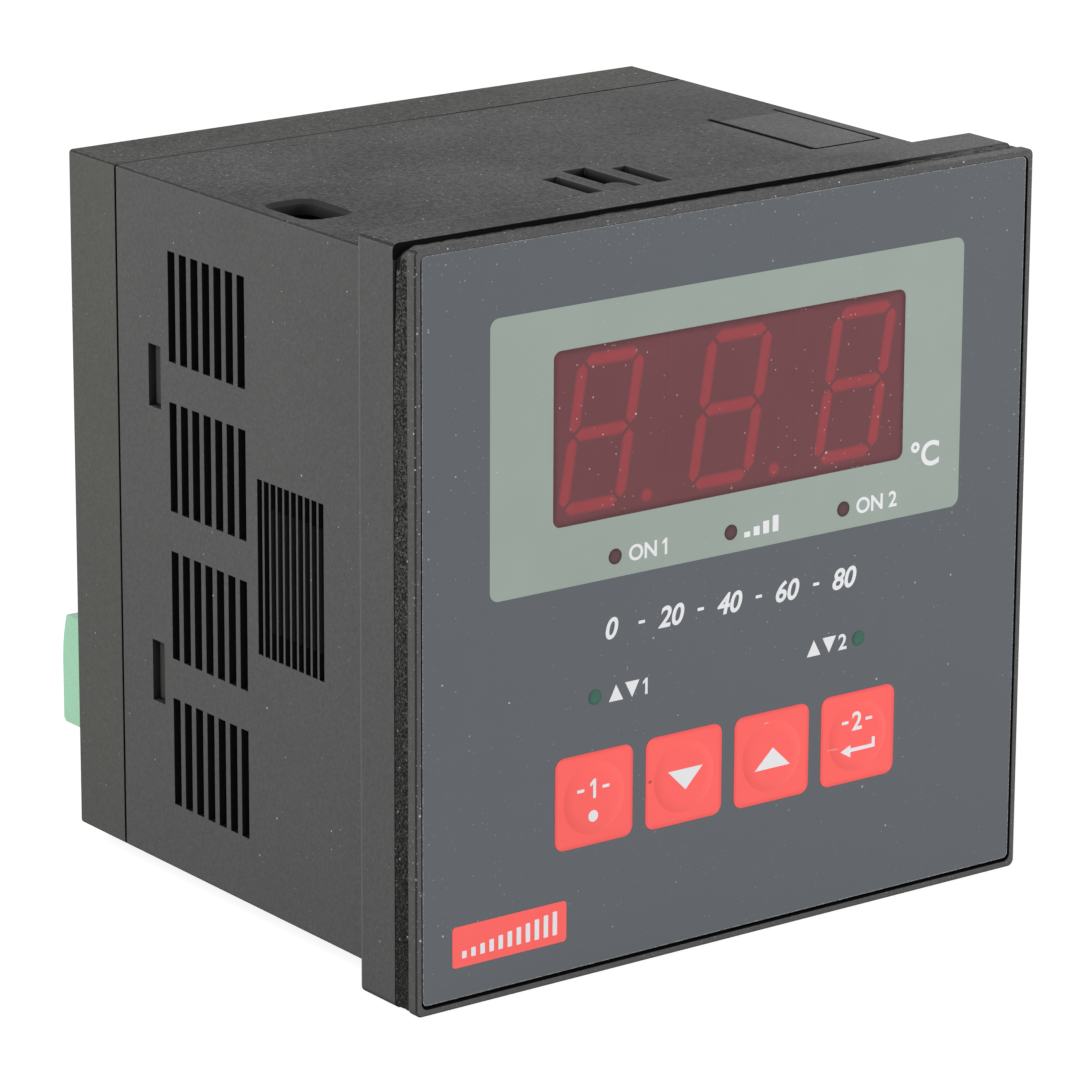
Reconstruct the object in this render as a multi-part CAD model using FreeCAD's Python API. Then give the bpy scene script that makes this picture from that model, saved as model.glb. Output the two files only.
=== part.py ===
import FreeCAD, Part
import math
import os

# Panel-mount temperature controller, in millimetres.
# X runs to the right as seen from the front, Y to the rear and Z up.
# The origin is the centre of the panel cut-out, in the plane of the flange face that seats on the panel.

Vec = FreeCAD.Vector
ALONG_X = Vec(1, 0, 0)
ALONG_Y = Vec(0, 1, 0)
ALONG_Z = Vec(0, 0, 1)
PLANE_TOLERANCE = 1e-4

# Front frame
front_size = 96.0
front_corner_radius = 0.9
flange_overhang = 2.5
rim_depth = 1.6
rim_width = 0.8
rim_edge = 0.15
overlay_sink = 0.15
plate_thickness = 1.6
spigot_wall = 1.6
spigot_clearance = 0.2

# Hooks that hold the front frame in the case
hook_width = 3.2
hook_shift = -0.3
hook_thickness = 1.5
hook_barb_length = 4.1
hook_sink = 0.3
hook_clearance = 0.15

# Printed overlay, red window and foam gasket
overlay_thickness = 0.25
overlay_gap = 0.3
overlay_rise = 0.2
overlay_corner_radius = 0.7
overlay_moat_width = 0.7
overlay_moat_depth = 0.7
window_width = 55.0
window_height = 22.1
window_drop = 26.4
window_corner_radius = 1.1
window_thickness = 0.3
window_gap = 0.03
window_to_digits = 0.1
gasket_depth = 2.9
gasket_inset = 0.05
gasket_top_inset = 1.2
gasket_fit = 0.3
gasket_corner_radius = 0.9

# Case
body_wall = 2.0
body_corner_radius = 0.5
flange_depth = 7.1
case_length = 57.2

# Louvres on both sides: four coarse groups and one fine group
vent_rows = 4
vent_row_pitch = 19.62
vent_slots = 7
vent_slot_width = 1.65
vent_slot_pitch = 2.6
vent_slot_height = 14.35
vent_centre_y = 36.9
fine_slots = 10
fine_slot_width = 1.1
fine_slot_pitch = 1.49
fine_slot_height = 22.8
fine_centre_y = 18.55

# Clip openings, hook pocket and snap tab on the top, turned half round for the underside
clip_front_y = 9.3
clip_window_width = 4.0
clip_window_length = 12.3
clip_bar_width = 2.1
clip_slot_width = 2.7
clip_slot_length = 10.1
pocket_width = 6.5
pocket_length = 9.9
pocket_corner_radius = 1.8
pocket_side_inset = 2.5
pocket_front_y = 17.6
pocket_bevel = 0.6
tab_width = 10.95
tab_length = 22.0
tab_front_y = 12.9
tab_side_inset = 2.35
tab_groove = 0.6

# Rear cover and its snap latches
cover_depth = 11.3
cover_wall = 2.0
cover_edge = 0.35
seam_width = 0.45
seam_depth = 0.7
lip_length = 3.2
lip_thickness = 1.5
lip_clearance = 0.2
latch_window_length = 2.8
latch_window_height = 8.2
latch_window_centre_y = 48.85
latch_fit = 0.15
latch_sink = 1.0

# Digit modules
module_width = 19.8
module_height = 27.8
module_depth = 8.0
module_gap = 0.1
module_clearance = 0.3
digit_width = 10.4
digit_height = 20.0
digit_slant_deg = 9.5
segment_width = 1.8
segment_gap = 0.25
segment_depth = 0.6
point_diameter = 2.05
point_offset_x = 7.0
point_offset_z = -9.2

# Indicator lamps, behind the overlay
lamp_diameter = 2.0
lamp_clearance = 0.05
lamp_tip_length = 2.8
lamp_base_width = 3.9
lamp_base_height = 2.9
lamp_base_depth = 2.4
lamp_leg_size = 0.5
lamp_leg_pitch = 2.54
output_lamp_pitch = 18.0
output_lamp_drop = 16.1
setpoint_lamp_x = 20.9
setpoint_lamp_rise = 13.0

# Keys and the switches behind them
key_pitch = 14.0
key_row_lift = 23.0
key_diameter = 9.2
key_shoulder = 1.6
key_crown = 0.3
key_travel = 0.4
key_gap = 0.1
key_window_clearance = 0.3
switch_size = 6.0
switch_height = 3.5
plunger_size = 3.4
plunger_clearance = 0.15
plunger_depth = 1.5

# Display board
board_thickness = 1.6
board_clearance = 0.6
board_notch_clearance = 0.4
boss_radius = 3.0
boss_inset = 0.4
boss_pilot_diameter = 2.2
screw_clearance = 0.05
screw_length = 5.0
screw_head_diameter = 4.4
screw_head_height = 1.7
screw_hole_clearance = 0.3
chip_size = 12.0
chip_height = 1.6
chip_centre_z = 4.0

# Link header between the two boards
link_pins = 10
link_pitch = 2.54
link_pin_size = 0.64
link_base_size = 2.5
link_pin_reach = 1.0
link_centre_x = 12.7
link_gap = 2.5

# Terminal plugs and their headers
pole_pitch = 5.08
power_poles = 8
sensor_poles = 4
plug_end_margin = 0.48
plug_side_inset = 3.9
plug_bottom_inset = 10.8
plug_height = 15.0
plug_reach = 9.9
plug_top_setback = 1.1
plug_top_depth = 6.6
plug_bottom_chamfer = 0.5
plug_groove_width = 0.6
plug_groove_depth = 0.5
plug_clearance = 0.4
nose_lift = 1.1
nose_height = 7.2
nose_depth = 9.5
nose_inset = 1.0
nose_clearance = 0.3
header_wall = 0.9
header_floor = 1.0
header_back = 2.0
header_depth = 11.8
header_gap = 0.3
pin_size = 1.0
pin_clearance = 0.3
pin_length = 8.2
pin_leg_offset = 0.1

# Wire clamps and screws inside the plugs
wire_hole_width = 3.2
wire_hole_height = 3.4
wire_hole_lift = 2.3
clamp_width = 4.0
clamp_depth = 4.8
clamp_height = 8.4
clamp_lift = 1.7
clamp_wall = 0.6
clamp_rear_cover = 3.4
terminal_screw_diameter = 2.7
terminal_screw_hole = 3.4
terminal_screw_sink = 1.5
terminal_screw_length = 6.4
terminal_slot_width = 0.6
terminal_slot_depth = 0.8

# Main board and its guide ribs
main_board_clearance = 0.3
main_board_setback = 4.0
rib_height = 1.4
rib_grip = 1.2
rib_play = 0.2
rib_front_y = 2.0
rib_rear_gap = 0.5

# Transformer on the main board, placed from the board's left edge and front
transformer_inset = 21.5
transformer_setback = 14.5
core_width = 32.0
core_height = 26.5
core_stack = 15.5
core_leg_width = 10.6
core_limb_width = 5.3
bobbin_wall = 1.0
bobbin_fit = 0.3
bobbin_flange = 1.2
bobbin_depth = 27.0
bobbin_rail_depth = 2.5
winding_inset = 0.4

# Other parts on the main board: setbacks from the board's front, leads ahead of the terminal headers
relay_length = 19.0
relay_width = 15.5
relay_height = 15.5
relay_edge = 0.8
relay_lead = 12.0
relay_1_inset = 11.0
relay_2_inset = 31.0
capacitor_diameter = 12.5
capacitor_height = 20.0
capacitor_groove_height = 2.5
capacitor_groove_depth = 0.5
capacitor_groove_width = 1.0
capacitor_gap = 5.75
capacitor_setback = 12.5
rectifier_width = 6.4
rectifier_length = 8.3
rectifier_height = 3.2
rectifier_inset = 17.5
rectifier_setback = 25.0
regulator_width = 10.0
regulator_depth = 4.5
regulator_height = 9.0
regulator_tab_depth = 1.3
regulator_tab_height = 15.5
regulator_hole_diameter = 3.6
regulator_hole_drop = 2.8
regulator_inset = 10.0
regulator_setback = 12.5
fuse_diameter = 8.5
fuse_height = 8.0
fuse_gap = 2.75
fuse_lead = 17.0
varistor_diameter = 9.0
varistor_thickness = 4.0
varistor_leg_size = 0.8
varistor_leg_pitch = 5.0
varistor_lift = 1.5
varistor_gap = 1.75
varistor_lead = 8.5

# Places along Y, from the front to the rear
frame_front = -(rim_depth + gasket_depth + flange_depth)
frame_rear = frame_front + rim_depth
flange_front = -flange_depth
overlay_front = frame_front + overlay_sink
overlay_rear = overlay_front + overlay_thickness
plate_rear = overlay_rear + plate_thickness
window_rear = overlay_front + window_thickness
digits_face = window_rear + window_to_digits
board_front = digits_face + module_depth
board_rear = board_front + board_thickness
cover_rear = case_length + cover_depth
cover_inside = cover_rear - cover_wall

# Half sizes across the front and the body
front_half = front_size / 2
body_size = front_size - 2 * flange_overhang
body_half = body_size / 2
case_inner_half = body_half - body_wall
spigot_half = case_inner_half - spigot_clearance
lip_outer_half = case_inner_half - lip_clearance
lip_inner_half = lip_outer_half - lip_thickness
display_board_half = case_inner_half - board_clearance
boss_place = spigot_half - boss_radius - boss_inset

# Heights on the front
window_centre_z = front_half - window_drop
output_lamp_z = window_centre_z - output_lamp_drop
key_row_z = key_row_lift - front_half
setpoint_lamp_z = key_row_z + setpoint_lamp_rise

# Places of the terminals
plug_bottom_z = plug_bottom_inset - body_half
plug_front = cover_inside
plug_rear = cover_rear + plug_reach
plug_top_z = plug_bottom_z + plug_height
nose_bottom_z = plug_bottom_z + nose_lift
nose_top_z = nose_bottom_z + nose_height
nose_centre_z = (nose_bottom_z + nose_top_z) / 2
nose_front = plug_front - nose_depth
header_rear = cover_inside - header_gap
header_front = header_rear - header_depth
main_board_top = nose_bottom_z - nose_clearance - header_floor
main_board_bottom = main_board_top - board_thickness
main_board_half = lip_inner_half - main_board_clearance
main_board_front = board_rear + link_gap
main_board_rear = header_rear - main_board_setback
clamp_rear = plug_rear - clamp_rear_cover
clamp_front = clamp_rear - clamp_depth
clamp_bottom_z = plug_bottom_z + clamp_lift
clamp_top_z = clamp_bottom_z + clamp_height
wire_hole_bottom_z = plug_bottom_z + wire_hole_lift
terminal_screw_y = (clamp_front + clamp_rear) / 2
terminal_screw_top_z = plug_top_z - terminal_screw_sink

# Places on the main board
transformer_x = transformer_inset - main_board_half
transformer_y = main_board_front + transformer_setback
relay_1_x = relay_1_inset - main_board_half
relay_2_x = relay_2_inset - main_board_half
relay_y = header_front - relay_lead
capacitor_x = transformer_x + core_width / 2 + capacitor_gap + capacitor_diameter / 2
capacitor_y = main_board_front + capacitor_setback
rectifier_x = main_board_half - rectifier_inset
rectifier_y = main_board_front + rectifier_setback
regulator_x = main_board_half - regulator_inset
regulator_y = main_board_front + regulator_setback
fuse_x = relay_2_x + relay_length / 2 + fuse_gap + fuse_diameter / 2
fuse_y = header_front - fuse_lead
varistor_x = fuse_x + fuse_diameter / 2 + varistor_gap + varistor_thickness / 2
varistor_y = header_front - varistor_lead

# Keys, lamps and digits by name, with their places on the front
key_names = ("key_program", "key_down", "key_up", "key_enter")
key_places = {
    name: (index - (len(key_names) - 1) / 2) * key_pitch for index, name in enumerate(key_names)
}
lamp_places = {
    "output_lamp_1": (-output_lamp_pitch, output_lamp_z),
    "program_lamp": (0.0, output_lamp_z),
    "output_lamp_2": (output_lamp_pitch, output_lamp_z),
    "setpoint_lamp_1": (-setpoint_lamp_x, setpoint_lamp_z),
    "setpoint_lamp_2": (setpoint_lamp_x, setpoint_lamp_z),
}
digit_names = ("digit_left", "digit_middle", "digit_right")
digit_pitch = module_width + module_gap
digit_places = {name: (index - 1) * digit_pitch for index, name in enumerate(digit_names)}
digits_with_point = ("digit_left", "digit_middle")


def plug_half_length(poles):
    """Half the length of a terminal plug."""
    return poles * pole_pitch / 2 + plug_end_margin


power_plug_x = plug_side_inset - body_half + plug_half_length(power_poles)
sensor_plug_x = body_half - plug_side_inset - plug_half_length(sensor_poles)


def span(centre, size):
    """Lowest and highest place of a size about its centre."""
    return centre - size / 2, centre + size / 2


def grown(limits, amount):
    """Limits moved outward by an amount at both ends."""
    return limits[0] - amount, limits[1] + amount


def box(x, y, z):
    """Block between two limits on each axis."""
    corner = Vec(x[0], y[0], z[0])
    return Part.makeBox(x[1] - x[0], y[1] - y[0], z[1] - z[0], corner)


def rounded_box(x, y, z, radius, along):
    """Block whose four edges along one axis are rounded."""
    block = box(x, y, z)
    edges = [edge for edge in block.Edges if abs(edge.tangentAt(edge.FirstParameter).dot(along)) > 0.5]
    return block.makeFillet(radius, edges)


def rod(x, y, z, radius, length, along):
    """Round rod that starts at a point."""
    return Part.makeCylinder(radius, length, Vec(x, y, z), along)


def edges_at_y(shape, y):
    """Edges that lie flat in the plane at one y."""
    return [
        edge
        for edge in shape.Edges
        if abs(edge.BoundBox.YMin - y) < PLANE_TOLERANCE and abs(edge.BoundBox.YMax - y) < PLANE_TOLERANCE
    ]


def turned_under(shape):
    """Copy turned half round the Y axis, for the underside."""
    copy = shape.copy()
    copy.rotate(Vec(0, 0, 0), ALONG_Y, 180)
    return copy


def row_places(count, pitch):
    """Places of a centred row."""
    return [(index - (count - 1) / 2) * pitch for index in range(count)]


def prism(points, y):
    """Prism of an outline in X and Z, from one y to another."""
    corners = [Vec(px, y[0], pz) for px, pz in points]
    face = Part.Face(Part.makePolygon(corners + corners[:1]))
    return face.extrude(Vec(0, y[1] - y[0], 0))


# Front frame, overlay, window and gasket


def screw_places():
    """Corners of the display board where screws hold it to the bosses."""
    return [(sx * boss_place, sz * boss_place) for sx in (-1, 1) for sz in (-1, 1)]


def make_hook():
    """Spring arm behind the top of the spigot, with a half-round barb in the case's clip window."""
    barb_front = clip_front_y + hook_clearance
    barb_rear = barb_front + hook_barb_length
    barb_radius = hook_width / 2
    barb_z = spigot_half - hook_thickness
    barb_height = body_half - hook_sink - barb_z
    arm_z = (spigot_half - hook_thickness, spigot_half)
    arm = box(span(hook_shift, hook_width), (board_front - spigot_wall, barb_rear - barb_radius), arm_z)
    block_z = (barb_z, barb_z + barb_height)
    block = box(span(hook_shift, hook_width), (barb_front, barb_rear - barb_radius), block_z)
    round_end = rod(hook_shift, barb_rear - barb_radius, barb_z, barb_radius, barb_height, ALONG_Z)
    return arm.fuse([block, round_end])


def make_front_frame():
    """Rim and moat round the overlay, a plate behind it and a spigot that enters the case."""
    outline = span(0, front_size)
    rim = rounded_box(outline, (frame_front, frame_rear), outline, front_corner_radius, ALONG_Y)
    rim = rim.makeChamfer(rim_edge, edges_at_y(rim, frame_front))
    spigot_outline = span(0, 2 * spigot_half)
    spigot = box(spigot_outline, (frame_rear, board_front), spigot_outline)
    inner = grown(spigot_outline, -spigot_wall)
    hollow = box(inner, (plate_rear, board_front), inner)
    recess_outline = grown(outline, -rim_width)
    recess_radius = overlay_corner_radius + overlay_gap
    recess = rounded_box(recess_outline, (frame_front, overlay_rear), recess_outline, recess_radius, ALONG_Y)
    moat_y = (overlay_rear, overlay_rear + overlay_moat_depth)
    moat = rounded_box(recess_outline, moat_y, recess_outline, recess_radius, ALONG_Y)
    island = grown(recess_outline, -overlay_moat_width)
    moat = moat.cut(box(island, moat_y, island))
    frame = rim.fuse(spigot).cut([hollow, recess, moat])

    corners = screw_places()
    bosses = [rod(x, overlay_rear, z, boss_radius, board_front - overlay_rear, ALONG_Y) for x, z in corners]
    hook = make_hook()
    frame = frame.fuse(bosses + [hook, turned_under(hook)])

    pilot_front = board_front - screw_length
    pilots = [rod(x, pilot_front, z, boss_pilot_diameter / 2, screw_length, ALONG_Y) for x, z in corners]
    through = (overlay_rear, plate_rear)
    digits_x = grown(span(0, (len(digit_names) - 1) * digit_pitch + module_width), module_clearance)
    digits_z = grown(span(window_centre_z, module_height), module_clearance)
    openings = [box(digits_x, through, digits_z)]
    lamp_hole = lamp_diameter / 2 + lamp_clearance
    for x, z in lamp_places.values():
        openings.append(rod(x, overlay_rear, z, lamp_hole, plate_thickness, ALONG_Y))
    key_window = key_diameter + 2 * key_window_clearance
    for x in key_places.values():
        openings.append(box(span(x, key_window), through, span(key_row_z, key_window)))
    return frame.cut(pilots + openings).removeSplitter()


def make_front_overlay():
    """Printed sheet with its window and key openings, sitting a little high in its recess."""
    sides = grown(span(0, front_size), -rim_width - overlay_gap)
    upright = (sides[0] + overlay_rise, sides[1] + overlay_rise)
    sheet = rounded_box(sides, (overlay_front, overlay_rear), upright, overlay_corner_radius, ALONG_Y)
    window_x = grown(span(0, window_width), window_gap)
    window_z = grown(span(window_centre_z, window_height), window_gap)
    radius = window_corner_radius + window_gap
    cuts = [rounded_box(window_x, (overlay_front, overlay_rear), window_z, radius, ALONG_Y)]
    for x in key_places.values():
        cuts.append(rod(x, overlay_front, key_row_z, key_diameter / 2 + key_gap, overlay_thickness, ALONG_Y))
    return sheet.cut(cuts)


def make_display_window():
    """Red window, flush in the overlay and resting on the digit modules."""
    z = span(window_centre_z, window_height)
    return rounded_box(span(0, window_width), (overlay_front, window_rear), z, window_corner_radius, ALONG_Y)


def make_front_gasket():
    """Foam frame between the front frame and the flange, cut short along the top."""
    sides = (gasket_inset - front_half, front_half - gasket_inset)
    upright = (gasket_inset - front_half, front_half - gasket_top_inset)
    foam = rounded_box(sides, (frame_rear, flange_front), upright, gasket_corner_radius, ALONG_Y)
    opening = grown(span(0, 2 * spigot_half), gasket_fit)
    return foam.cut(box(opening, (frame_rear, flange_front), opening))


# Case and rear cover


def side_cut(y, z):
    """Pair of cuts through the left and right walls."""
    right = box((case_inner_half, body_half), y, z)
    left = box((-body_half, -case_inner_half), y, z)
    return [left, right]


def make_louvres():
    """Slots of the coarse groups and of the fine group."""
    cuts = []
    for row_z in row_places(vent_rows, vent_row_pitch):
        for offset in row_places(vent_slots, vent_slot_pitch):
            cuts += side_cut(span(vent_centre_y + offset, vent_slot_width), span(row_z, vent_slot_height))
    for offset in row_places(fine_slots, fine_slot_pitch):
        cuts += side_cut(span(fine_centre_y + offset, fine_slot_width), span(0, fine_slot_height))
    return cuts


def latch_rows():
    """Heights of the two snap windows on each side, between the louvre groups."""
    return (-vent_row_pitch, vent_row_pitch)


def make_top_openings():
    """Clip window with its two slots, bevelled hook pocket and the groove round the snap tab."""
    wall_z = (case_inner_half, body_half)
    window_y = (clip_front_y, clip_front_y + clip_window_length)
    cuts = [box(span(0, clip_window_width), window_y, wall_z)]
    slot_inner = clip_window_width / 2 + clip_bar_width
    slot_y = (clip_front_y, clip_front_y + clip_slot_length)
    for side in (-1, 1):
        slot_x = sorted((side * slot_inner, side * (slot_inner + clip_slot_width)))
        cuts.append(box(slot_x, slot_y, wall_z))

    pocket_left = pocket_side_inset - body_half
    pocket_x = (pocket_left, pocket_left + pocket_width)
    pocket_y = (pocket_front_y, pocket_front_y + pocket_length)
    pocket = rounded_box(pocket_x, pocket_y, wall_z, pocket_corner_radius, ALONG_Z)
    mouth = [
        edge
        for edge in pocket.Edges
        if abs(edge.BoundBox.ZMin - body_half) < PLANE_TOLERANCE
        and abs(edge.BoundBox.ZMax - body_half) < PLANE_TOLERANCE
    ]
    flare_wire = Part.Wire(Part.__sortEdges__(mouth))
    flare_top = Part.Face(flare_wire.makeOffset2D(pocket_bevel))
    flare_low = Part.Face(flare_wire).translated(Vec(0, 0, -pocket_bevel))
    flare = Part.makeLoft([flare_low.OuterWire, flare_top.OuterWire], True)
    cuts += [pocket, flare]

    tab_right = body_half - tab_side_inset
    tab_left = tab_right - tab_width
    tab_rear = tab_front_y + tab_length
    for line in (tab_left, tab_right):
        cuts.append(box(span(line, tab_groove), (tab_front_y, tab_rear), wall_z))
    cuts.append(box((tab_left, tab_right), span(tab_front_y, tab_groove), wall_z))
    return cuts


def make_guide_ribs():
    """Ribs on both side walls that grip the edges of the main board."""
    rib_y = (rib_front_y, case_length - lip_length - rib_rear_gap)
    lower_z = (main_board_bottom - rib_height, main_board_bottom)
    upper_z = (main_board_top + rib_play, main_board_top + rib_play + rib_height)
    inner = main_board_half - rib_grip
    ribs = []
    for z in (lower_z, upper_z):
        ribs.append(box((inner, case_inner_half), rib_y, z))
        ribs.append(box((-case_inner_half, -inner), rib_y, z))
    return ribs


def make_case():
    """Square tube with the flange, the louvres and the clip openings."""
    outline = span(0, body_size)
    tube = rounded_box(outline, (flange_front, case_length), outline, body_corner_radius, ALONG_Y)
    flange_outline = span(0, front_size)
    flange = rounded_box(flange_outline, (flange_front, 0), flange_outline, front_corner_radius, ALONG_Y)
    inner = span(0, 2 * case_inner_half)
    case = tube.fuse(flange).cut(box(inner, (flange_front, case_length), inner))
    case = case.fuse(make_guide_ribs())
    top = make_top_openings()
    cuts = make_louvres() + top + [turned_under(cut) for cut in top]
    latch_y = span(latch_window_centre_y, latch_window_length)
    for row_z in latch_rows():
        cuts += side_cut(latch_y, span(row_z, latch_window_height))
    return case.cut(cuts).removeSplitter()


def make_latches():
    """Four arms on the cover's lip, each with a nib in its snap window."""
    latches = []
    nib_y = grown(span(latch_window_centre_y, latch_window_length), -latch_fit)
    for row_z in latch_rows():
        width = grown(span(row_z, latch_window_height), -latch_fit)
        for side in (-1, 1):
            arm_x = sorted((side * lip_inner_half, side * lip_outer_half))
            nib_x = sorted((side * lip_inner_half, side * (body_half - latch_sink)))
            latches.append(box(arm_x, (nib_y[0], case_length), width))
            latches.append(box(nib_x, nib_y, width))
    return latches


def make_rear_cover():
    """Cap with a locating lip, a seam groove, snap latches and an opening for each plug."""
    outline = span(0, body_size)
    cap = rounded_box(outline, (case_length, cover_rear), outline, body_corner_radius, ALONG_Y)
    cap = cap.makeFillet(cover_edge, edges_at_y(cap, cover_rear))
    inner = span(0, 2 * case_inner_half)
    step = case_length + cover_wall
    lip_outline = span(0, 2 * lip_outer_half)
    lip = box(lip_outline, (case_length - lip_length, step), lip_outline)
    lip_inner = span(0, 2 * lip_inner_half)
    groove_outline = grown(outline, -seam_depth)
    groove_y = (case_length, case_length + seam_width)
    groove = box(outline, groove_y, outline).cut(box(groove_outline, groove_y, groove_outline))
    cover = cap.fuse([lip] + make_latches())
    hollows = [
        box(inner, (step, cover_inside), inner),
        box(lip_inner, (case_length - lip_length, step), lip_inner),
        groove,
    ]
    opening_z = grown((plug_bottom_z, plug_top_z), plug_clearance)
    for centre, poles in ((power_plug_x, power_poles), (sensor_plug_x, sensor_poles)):
        opening_x = grown(span(centre, 2 * plug_half_length(poles)), plug_clearance)
        hollows.append(box(opening_x, (cover_inside, cover_rear), opening_z))
    return cover.cut(hollows).removeSplitter()


# Digits and lamps


def segment_outlines():
    """Seven slanted hexagons of a digit, about its own centre."""
    half_x = (digit_width - segment_width) / 2
    half_z = (digit_height - segment_width) / 2
    slant = math.tan(math.radians(digit_slant_deg))
    nodes = {
        "left_top": (-half_x, half_z),
        "right_top": (half_x, half_z),
        "left_middle": (-half_x, 0.0),
        "right_middle": (half_x, 0.0),
        "left_bottom": (-half_x, -half_z),
        "right_bottom": (half_x, -half_z),
    }
    pairs = (
        ("left_top", "right_top"),
        ("right_middle", "right_top"),
        ("right_bottom", "right_middle"),
        ("left_bottom", "right_bottom"),
        ("left_bottom", "left_middle"),
        ("left_middle", "left_top"),
        ("left_middle", "right_middle"),
    )
    half_width = segment_width / 2
    outlines = []
    for start_name, end_name in pairs:
        start = nodes[start_name]
        end = nodes[end_name]
        length = math.dist(start, end)
        ux = (end[0] - start[0]) / length
        uz = (end[1] - start[1]) / length
        along_across = (
            (segment_gap, 0.0),
            (segment_gap + half_width, half_width),
            (length - segment_gap - half_width, half_width),
            (length - segment_gap, 0.0),
            (length - segment_gap - half_width, -half_width),
            (segment_gap + half_width, -half_width),
        )
        points = []
        for along, across in along_across:
            x = start[0] + along * ux - across * uz
            z = start[1] + along * uz + across * ux
            points.append((x + slant * z, z))
        outlines.append(points)
    return outlines


def make_segments(name):
    """Lens segments of one digit, and its decimal point where it has one."""
    centre_x = digit_places[name]
    depth = (digits_face, digits_face + segment_depth)
    solids = []
    for outline in segment_outlines():
        solids.append(prism([(x + centre_x, z + window_centre_z) for x, z in outline], depth))
    if name in digits_with_point:
        x = centre_x + point_offset_x
        z = window_centre_z + point_offset_z
        solids.append(rod(x, digits_face, z, point_diameter / 2, segment_depth, ALONG_Y))
    return solids


def make_digit(name):
    """Digit module with a pocket for each lens segment."""
    x = span(digit_places[name], module_width)
    z = span(window_centre_z, module_height)
    return box(x, (digits_face, board_front), z).cut(make_segments(name))


def make_lamp(x, z):
    """Round lamp tip behind the overlay on a square base, with two legs down to the board."""
    tip = rod(x, overlay_rear, z, lamp_diameter / 2, lamp_tip_length, ALONG_Y)
    base_front = overlay_rear + lamp_tip_length
    base_rear = base_front + lamp_base_depth
    base = box(span(x, lamp_base_width), (base_front, base_rear), span(z, lamp_base_height))
    legs = [
        box(span(x + offset, lamp_leg_size), (base_rear, board_front), span(z, lamp_leg_size))
        for offset in row_places(2, lamp_leg_pitch)
    ]
    return tip.fuse([base] + legs)


# Keys, switches and the display board


def make_key(x):
    """Embossed key cap: a flat crown with a sloping shoulder on a thin round edge."""
    radius = key_diameter / 2
    crown_y = overlay_front - key_crown
    profile = [
        Vec(x, overlay_rear, key_row_z),
        Vec(x + radius, overlay_rear, key_row_z),
        Vec(x + radius, overlay_front, key_row_z),
        Vec(x + radius - key_shoulder, crown_y, key_row_z),
        Vec(x, crown_y, key_row_z),
    ]
    outline = Part.makePolygon(profile + profile[:1])
    return Part.Face(outline).revolve(Vec(x, 0, key_row_z), ALONG_Y, 360)


def make_plunger(x):
    """Square switch plunger that reaches from inside the switch to the back of its key."""
    rear = board_front - switch_height + plunger_depth - key_travel - plunger_clearance
    return box(span(x, plunger_size), (overlay_rear, rear), span(key_row_z, plunger_size))


def make_switch(x):
    """Switch body on the board, with a well for its plunger."""
    front = board_front - switch_height
    body = box(span(x, switch_size), (front, board_front), span(key_row_z, switch_size))
    well = plunger_size + 2 * plunger_clearance
    return body.cut(box(span(x, well), (front, front + plunger_depth), span(key_row_z, well)))


def make_display_board():
    """Board that seats on the spigot, notched for the hooks and drilled for screws and link pins."""
    outline = span(0, 2 * display_board_half)
    thickness = (board_front, board_rear)
    board = box(outline, thickness, outline)
    notch_z = (spigot_half - hook_thickness - board_notch_clearance, display_board_half)
    notch = box(grown(span(0, hook_width), board_notch_clearance), thickness, notch_z)
    cuts = [notch, turned_under(notch)]
    for x, z in screw_places():
        radius = boss_pilot_diameter / 2 + screw_hole_clearance
        cuts.append(rod(x, board_front, z, radius, board_thickness, ALONG_Y))
    for x in row_places(link_pins, link_pitch):
        pin_z = main_board_top + link_base_size / 2
        cuts.append(box(span(link_centre_x + x, link_pin_size), thickness, span(pin_z, link_pin_size)))
    return board.cut(cuts)


def make_display_board_screws():
    """Four pan-head screws in the bosses."""
    screws = []
    for x, z in screw_places():
        shank_radius = boss_pilot_diameter / 2 - screw_clearance
        shank = rod(x, board_front - screw_length, z, shank_radius, screw_length + board_thickness, ALONG_Y)
        head = rod(x, board_rear, z, screw_head_diameter / 2, screw_head_height, ALONG_Y)
        screws.append(shank.fuse(head).removeSplitter())
    return screws


def make_microcontroller():
    """Flat square package on the back of the display board."""
    rear = board_rear + chip_height
    return box(span(0, chip_size), (board_rear, rear), span(chip_centre_z, chip_size))


# Main board


def make_main_board():
    """Board that lies in the guide ribs, drilled for the link pins."""
    limits_y = (main_board_front, main_board_rear)
    limits_z = (main_board_bottom, main_board_top)
    board = box(span(0, 2 * main_board_half), limits_y, limits_z)
    leg_y = span(main_board_front + link_base_size / 2, link_pin_size)
    holes = []
    for offset in row_places(link_pins, link_pitch):
        holes.append(box(span(link_centre_x + offset, link_pin_size), leg_y, limits_z))
    return board.cut(holes)


def make_link_pins():
    """Bent pins from the main board to the display board."""
    leg_y = span(main_board_front + link_base_size / 2, link_pin_size)
    arm_z = span(main_board_top + link_base_size / 2, link_pin_size)
    pins = []
    for offset in row_places(link_pins, link_pitch):
        x = span(link_centre_x + offset, link_pin_size)
        leg = box(x, leg_y, (main_board_bottom - link_pin_reach, arm_z[1]))
        arm = box(x, (board_front - link_pin_reach, leg_y[1]), arm_z)
        pins.append(leg.fuse(arm).removeSplitter())
    return pins


def make_link_header():
    """Moulded base that carries the link pins."""
    x = span(link_centre_x, link_pins * link_pitch)
    base_y = (main_board_front, main_board_front + link_base_size)
    base = box(x, base_y, (main_board_top, main_board_top + link_base_size))
    return base.cut(make_link_pins())


def core_window_z():
    """Height range of the core's windows."""
    return main_board_top + core_limb_width, main_board_top + core_height - core_limb_width


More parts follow.
